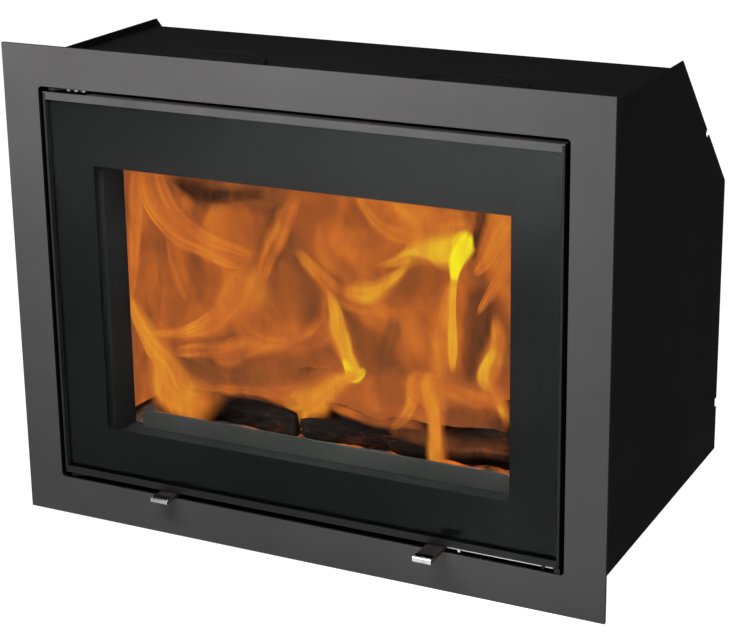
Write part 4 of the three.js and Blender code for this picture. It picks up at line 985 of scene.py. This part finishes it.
# in millimetres: depth is how far behind the frame's front a flame stands, each place on its line is x, z and
# half its width; body is how dense it is, and sharp is the side with a clear edge
flames = {
    "backTop": {"depth": 300, "heat": 0.5, "body": 0.6, "line": [
        (-70, 391, 23), (20, 378, 31), (92, 367, 27), (139, 346, 19)]},
    "broadSheet": {"depth": 215, "heat": 0.5, "body": 0.9, "line": [
        (-56, 384, 23), (-48, 351, 42), (-20, 316, 49), (7, 282, 34), (51, 242, 34), (70, 192, 30)]},
    "broadEdge": {"depth": 205, "heat": 0.53, "body": 0.75, "sharp": 1, "line": [
        (-109, 335, 5), (-81, 308, 10), (-44, 282, 13), (0, 269, 13), (40, 259, 8)]},
    "topArc": {"depth": 205, "heat": 0.56, "body": 0.7, "line": [
        (-19, 424, 4), (-2, 400, 9), (22, 381, 11), (57, 374, 13), (96, 382, 11)]},
    "topGlow": {"depth": 210, "heat": 0.56, "body": 0.8, "line": [
        (31, 417, 15), (70, 403, 26), (109, 393, 26), (143, 401, 15)]},
    "midSheet": {"depth": 200, "heat": 0.47, "body": 0.8, "line": [
        (-223, 271, 16), (-181, 246, 35), (-130, 221, 35), (-80, 221, 23), (-39, 242, 11)]},
    "lowSheet": {"depth": 178, "heat": 0.42, "body": 1.4, "line": [
        (-296, 122, 24), (-224, 143, 43), (-129, 154, 47), (-29, 162, 48), (68, 166, 45), (154, 161, 41),
        (215, 155, 33)]},
    "lowGold": {"depth": 168, "heat": 0.54, "body": 0.7, "line": [
        (-150, 127, 8), (-107, 141, 17), (-57, 157, 23), (-7, 169, 23), (41, 165, 15)]},
    "logLapLeft": {"depth": 86, "heat": 0.47, "body": 0.75, "line": [
        (-168, 174, 5), (-135, 177, 9), (-102, 176, 10), (-65, 175, 10), (-37, 174, 4)]},
    "logLapRight": {"depth": 84, "heat": 0.44, "body": 0.75, "line": [
        (-4, 180, 4), (27, 176, 9), (66, 173, 10), (105, 173, 9), (135, 171, 5)]},
    "logHaze": {"depth": 88, "heat": 0.24, "line": [
        (76, 162, 5), (106, 157, 12), (141, 157, 16), (182, 157, 16), (222, 157, 14), (248, 157, 12)]},
    "leftColumn": {"depth": 170, "heat": 0.43, "body": 0.8, "line": [
        (-296, 337, 8), (-296, 290, 16), (-296, 235, 24), (-296, 179, 28), (-296, 127, 24)]},
    "leftVeil": {"depth": 92, "heat": 0.53, "sharp": 1, "line": [
        (-272, 458, 7), (-275, 417, 10), (-278, 364, 10), (-284, 314, 8), (-289, 279, 4)]},
    "upperCurlFill": {"depth": 102, "heat": 0.51, "body": 0.8, "line": [
        (-259, 453, 15), (-246, 410, 20), (-217, 376, 23), (-172, 356, 20), (-129, 342, 16)]},
    "upperCurlOuter": {"depth": 94, "heat": 0.55, "body": 0.9, "sharp": -1, "line": [
        (-265, 458, 6), (-257, 411, 8), (-228, 375, 9), (-190, 358, 8), (-149, 345, 7), (-117, 339, 5)]},
    "upperCurlInner": {"depth": 98, "heat": 0.54, "body": 0.9, "sharp": 1, "line": [
        (-247, 463, 7), (-237, 420, 9), (-207, 385, 10), (-170, 367, 10), (-135, 358, 8), (-106, 354, 5)]},
    "upperRise": {"depth": 140, "heat": 0.52, "sharp": 1, "line": [
        (-67, 435, 10), (-79, 404, 13), (-97, 369, 13), (-114, 337, 11), (-128, 305, 8)]},
    "curlArm": {"depth": 116, "heat": 0.56, "body": 0.95, "line": [
        (-119, 347, 15), (-120, 317, 31), (-140, 281, 35), (-170, 254, 23), (-213, 236, 13),
        (-256, 224, 7), (-287, 222, 2)]},
    "curlEdge": {"depth": 110, "heat": 0.6, "body": 0.8, "sharp": -1, "line": [
        (-149, 278, 5), (-179, 255, 8), (-217, 238, 6), (-254, 226, 3)]},
    "curlTail": {"depth": 150, "heat": 0.5, "body": 0.8, "line": [
        (-173, 262, 15), (-136, 233, 23), (-95, 227, 15), (-53, 248, 9), (-28, 278, 4)]},
    "thinTail": {"depth": 104, "heat": 0.5, "body": 0.8, "line": [
        (-237, 366, 4), (-230, 329, 6), (-219, 300, 8), (-212, 279, 4)]},
    "leftRise": {"depth": 85, "heat": 0.58, "body": 0.97, "line": [
        (-286, 301, 3), (-277, 268, 9), (-260, 236, 15), (-240, 204, 22), (-218, 172, 31),
        (-192, 145, 38), (-165, 122, 43)]},
    "leftSpark": {"depth": 82, "heat": 0.63, "body": 0.8, "sharp": -1, "line": [
        (-283, 276, 5), (-267, 247, 11), (-246, 223, 15), (-224, 196, 18), (-199, 169, 24),
        (-169, 137, 29)]},
    "secondTongue": {"depth": 112, "heat": 0.52, "body": 0.8, "sharp": 1, "line": [
        (-244, 202, 5), (-212, 207, 10), (-173, 220, 11), (-131, 230, 11), (-98, 224, 8)]},
    "lowArc": {"depth": 150, "heat": 0.48, "body": 0.7, "line": [
        (-205, 187, 8), (-171, 193, 13), (-137, 213, 13), (-95, 227, 10)]},
    "goldWedge": {"depth": 150, "heat": 0.68, "body": 1.0, "line": [
        (-8, 307, 10), (20, 307, 16), (44, 316, 13), (63, 333, 8), (85, 356, 3)]},
    "plumeHalo": {"depth": 140, "heat": 0.68, "body": 0.9, "line": [
        (41, 348, 2), (76, 361, 9), (106, 373, 18), (135, 381, 23), (159, 388, 20), (175, 395, 7)]},
    "plumeEdge": {"depth": 132, "heat": 0.78, "line": [
        (72, 368, 2), (99, 375, 7), (121, 383, 16), (144, 386, 21), (162, 388, 18), (175, 399, 7)]},
    "plumeCore": {"depth": 126, "heat": 1.0, "body": 1.0, "sharp": 1, "line": [
        (175, 415, 4), (165, 400, 13), (160, 383, 12), (156, 363, 7), (154, 343, 3)]},
    "stemHalo": {"depth": 136, "heat": 0.56, "line": [
        (150, 350, 4), (142, 317, 13), (136, 280, 18), (134, 243, 18), (138, 218, 11)]},
    "yellowStem": {"depth": 124, "heat": 0.72, "body": 0.95, "sharp": 1, "line": [
        (156, 358, 4), (152, 322, 5), (152, 286, 6), (152, 257, 6), (153, 228, 3)]},
    "sliverHalo": {"depth": 128, "heat": 0.58, "line": [
        (-24, 323, 4), (-13, 291, 15), (-5, 258, 19), (14, 231, 15), (25, 211, 11)]},
    "sliver": {"depth": 114, "heat": 0.73, "body": 0.97, "sharp": 1, "line": [
        (-12, 317, 2), (-2, 293, 8), (4, 264, 11), (12, 239, 9), (21, 218, 10), (27, 206, 5)]},
    "sliverTip": {"depth": 104, "heat": 0.86, "body": 0.9, "sharp": -1, "line": [
        (14, 235, 3), (22, 224, 6), (29, 216, 9), (45, 227, 2)]},
    "foldedLeaf": {"depth": 102, "heat": 0.65, "body": 0.97, "line": [
        (46, 227, 2), (23, 211, 10), (-5, 194, 18), (-35, 176, 21), (-58, 169, 15), (-78, 169, 4)]},
    "leafFoot": {"depth": 100, "heat": 0.64, "body": 0.95, "line": [
        (-12, 188, 15), (-29, 170, 19), (-39, 153, 13), (-45, 135, 4)]},
    "rightColumnTop": {"depth": 94, "heat": 0.57, "body": 0.95, "line": [
        (138, 247, 21), (140, 225, 30), (142, 204, 25), (144, 189, 11)]},
    "rightColumn": {"depth": 81, "heat": 0.64, "body": 1.1, "line": [
        (140, 244, 9), (143, 219, 12), (147, 194, 11), (151, 166, 11), (153, 140, 13), (155, 122, 13)]},
    "rightSpread": {"depth": 104, "heat": 0.5, "line": [
        (141, 225, 18), (175, 220, 20), (208, 214, 16), (234, 211, 9)]},
    "hook": {"depth": 98, "heat": 0.61, "body": 0.95, "sharp": 1, "line": [
        (109, 234, 5), (111, 212, 9), (107, 189, 8), (96, 169, 7), (80, 153, 3)]},
    "rightCurlSoft": {"depth": 112, "heat": 0.55, "body": 0.9, "line": [
        (215, 323, 4), (219, 292, 11), (214, 263, 16), (208, 233, 18), (223, 207, 13), (233, 175, 7)]},
    "rightCurl": {"depth": 106, "heat": 0.73, "body": 0.95, "sharp": -1, "line": [
        (220, 284, 3), (211, 257, 7), (205, 238, 9), (211, 221, 7), (222, 208, 4), (231, 188, 3)]},
    "rightStreakUpper": {"depth": 150, "heat": 0.52, "sharp": 1, "line": [
        (220, 429, 13), (202, 402, 11), (184, 372, 9), (169, 349, 3)]},
    "rightStreakLower": {"depth": 146, "heat": 0.52, "sharp": -1, "line": [
        (224, 382, 11), (208, 351, 9), (191, 324, 6), (177, 300, 2)]},
    # painted shade: dim, dark sheets laid over the fire where it is darker
    "topSmoke": {"depth": 104, "heat": 0.07, "line": [
        (-229, 441, 5), (-196, 431, 13), (-164, 427, 11), (-127, 428, 9), (-83, 435, 5)]},
    "topShade": {"depth": 120, "heat": 0.25, "body": 0.9, "line": [
        (-247, 443, 11), (-210, 435, 22), (-157, 430, 25), (-100, 429, 21), (-56, 438, 9)]},
    "rightSmoke": {"depth": 150, "heat": 0.1, "line": [
        (185, 437, 8), (182, 418, 9), (173, 395, 7), (166, 366, 4)]},
    "rightShade": {"depth": 190, "heat": 0.24, "line": [
        (152, 327, 11), (163, 296, 22), (167, 260, 29), (160, 221, 26), (156, 183, 15)]},
    "middleShade": {"depth": 175, "heat": 0.28, "body": 0.8, "line": [
        (51, 281, 7), (51, 248, 14), (50, 210, 19), (47, 171, 19), (45, 136, 15)]},
    "leftShade": {"depth": 165, "heat": 0.3, "body": 0.75, "line": [
        (-296, 389, 12), (-296, 342, 16), (-296, 296, 16), (-285, 266, 8)]},
    "centreShade": {"depth": 195, "heat": 0.31, "body": 0.7, "line": [
        (-125, 324, 15), (-109, 299, 31), (-101, 270, 35), (-106, 238, 19)]},
    "lowLeftShade": {"depth": 160, "heat": 0.31, "body": 0.8, "line": [
        (-263, 191, 12), (-229, 173, 24), (-178, 165, 23), (-110, 179, 19), (-51, 199, 11)]},
    "lowRightShade": {"depth": 150, "heat": 0.23, "line": [
        (131, 167, 11), (162, 161, 21), (196, 155, 22), (222, 152, 15)]},
}


def markPoints(piece, label, values):
    attribute = piece.data.attributes.new(label, "FLOAT", "POINT")
    attribute.data.foreach_set("value", values)


def sheetGrid(name, across, along):
    bpy.ops.object.select_all(action="DESELECT")
    bpy.ops.mesh.primitive_grid_add(x_subdivisions=across, y_subdivisions=along, size=1)
    piece = bpy.context.object
    piece.name = piece.data.name = name
    return piece


sheetValues = {
    "across": 20, "along": 60, "step": 0.02, "widen": 1.4, "uneven": 0.1, "sway": 0.35, "bow": 0.35,
    "clearEdge": 3.2, "softEdge": 1.2, "endFade": 6, "edgeCool": 0.1,
    "streakBody": 0.28, "streakHeat": 0.055, "foldHeat": 0.04,
}


def addFlame(name, sheet, line, depth, heat, body=0.85, sharp=0):
    piece = sheetGrid(name, sheet["across"], sheet["along"])
    heats, bodies = [], []
    for vertex in piece.data.vertices:
        across, part = vertex.co.x * 2, vertex.co.y + 0.5
        x, z, half = alongLine(line, part)
        nextX, nextZ, _ = alongLine(line, min(part + sheet["step"], 1))
        lastX, lastZ, _ = alongLine(line, max(part - sheet["step"], 0))
        direction = Vector((nextX - lastX, nextZ - lastZ)).normalized()
        half *= sheet["widen"]
        half *= 1 + sheet["uneven"] * noiseAt(part * 6, depth * 0.7, across * 0.6)
        wave = noiseAt(x * 0.02, z * 0.02, depth) * half * sheet["sway"]
        bow = math.cos(across * math.pi / 2) * half * sheet["bow"]
        out = across * half + wave
        x, y, z = x - direction.y * out, depth - bow, z + direction.x * out
        vertex.co = Vector((x * millimetre, y * millimetre + frameFrontY, z * millimetre))
        edge = sheet["clearEdge"] if across * sharp > 0 else sheet["softEdge"]
        core = smoothStep((1 - abs(across)) * edge)
        ends = smoothStep(part * sheet["endFade"]) * smoothStep((1 - part) * sheet["endFade"])
        streak = noiseAt(across * 3.4, part * 2.4, depth)
        fold = noiseAt(across * 1.6, part * 4.5, depth + 9)
        bodies.append(core * ends * body * (1 + sheet["streakBody"] * streak))
        cooled = heat - sheet["edgeCool"] * (1 - core)
        heats.append(cooled + sheet["streakHeat"] * streak + sheet["foldHeat"] * fold)
    markPoints(piece, "warmth", heats)
    markPoints(piece, "thickness", bodies)
    bpy.ops.object.shade_smooth()
    return piece


glowValues = {
    "across": 80, "along": 36, "raised": 9, "frontY": 86, "backY": 330, "half": 296, "curve": 0.8,
    "heat": 0.37, "patchHeat": 0.14, "patchScale": (0.011, 0.008), "rightHeat": 0.08, "rightReach": 400,
    "body": 1.4, "baffleFront": 126, "frontTop": 484, "baffleTop": 447, "baffleFall": 0.3094,
}


def glowTop(values, y):
    if y < values["baffleFront"]:
        drop = smoothStep((y - values["frontY"]) / (values["baffleFront"] - values["frontY"]))
        return values["frontTop"] + (values["baffleTop"] - values["frontTop"]) * drop
    return values["baffleTop"] - (y - values["baffleFront"]) * values["baffleFall"]


def addGlow(values):
    piece = sheetGrid("fireGlow", values["across"], values["along"])
    bottom = hearthTop / millimetre + values["raised"]
    heats = []
    for vertex in piece.data.vertices:
        angle, part = vertex.co.x * math.pi, vertex.co.y + 0.5
        x = values["half"] * math.sin(angle)
        y = values["frontY"] + (values["backY"] - values["frontY"]) * math.cos(angle) ** values["curve"]
        z = bottom + (glowTop(values, y) - bottom) * part
        vertex.co = Vector((x * millimetre, y * millimetre + frameFrontY, z * millimetre))
        patch = noiseAt(x * values["patchScale"][0], z * values["patchScale"][1], 3.1)
        right = smoothStep(0.5 + x / values["rightReach"])
        heats.append(values["heat"] + values["patchHeat"] * patch + values["rightHeat"] * right)
    markPoints(piece, "warmth", heats)
    markPoints(piece, "thickness", [values["body"]] * len(heats))
    activate(piece)
    bpy.ops.object.shade_smooth()
    return piece


dress(addGlow(glowValues), flameMaterial("glowLight", fireLights["glowLight"], flameTexture), None, "casing")
flameLight = flameMaterial("flameLight", fireLights["flameLight"], flameTexture)
for name, values in flames.items():
    dress(addFlame("flame_" + name, sheetValues, **values), flameLight, None, "casing")
print("fire made:", len(flames), "flames")
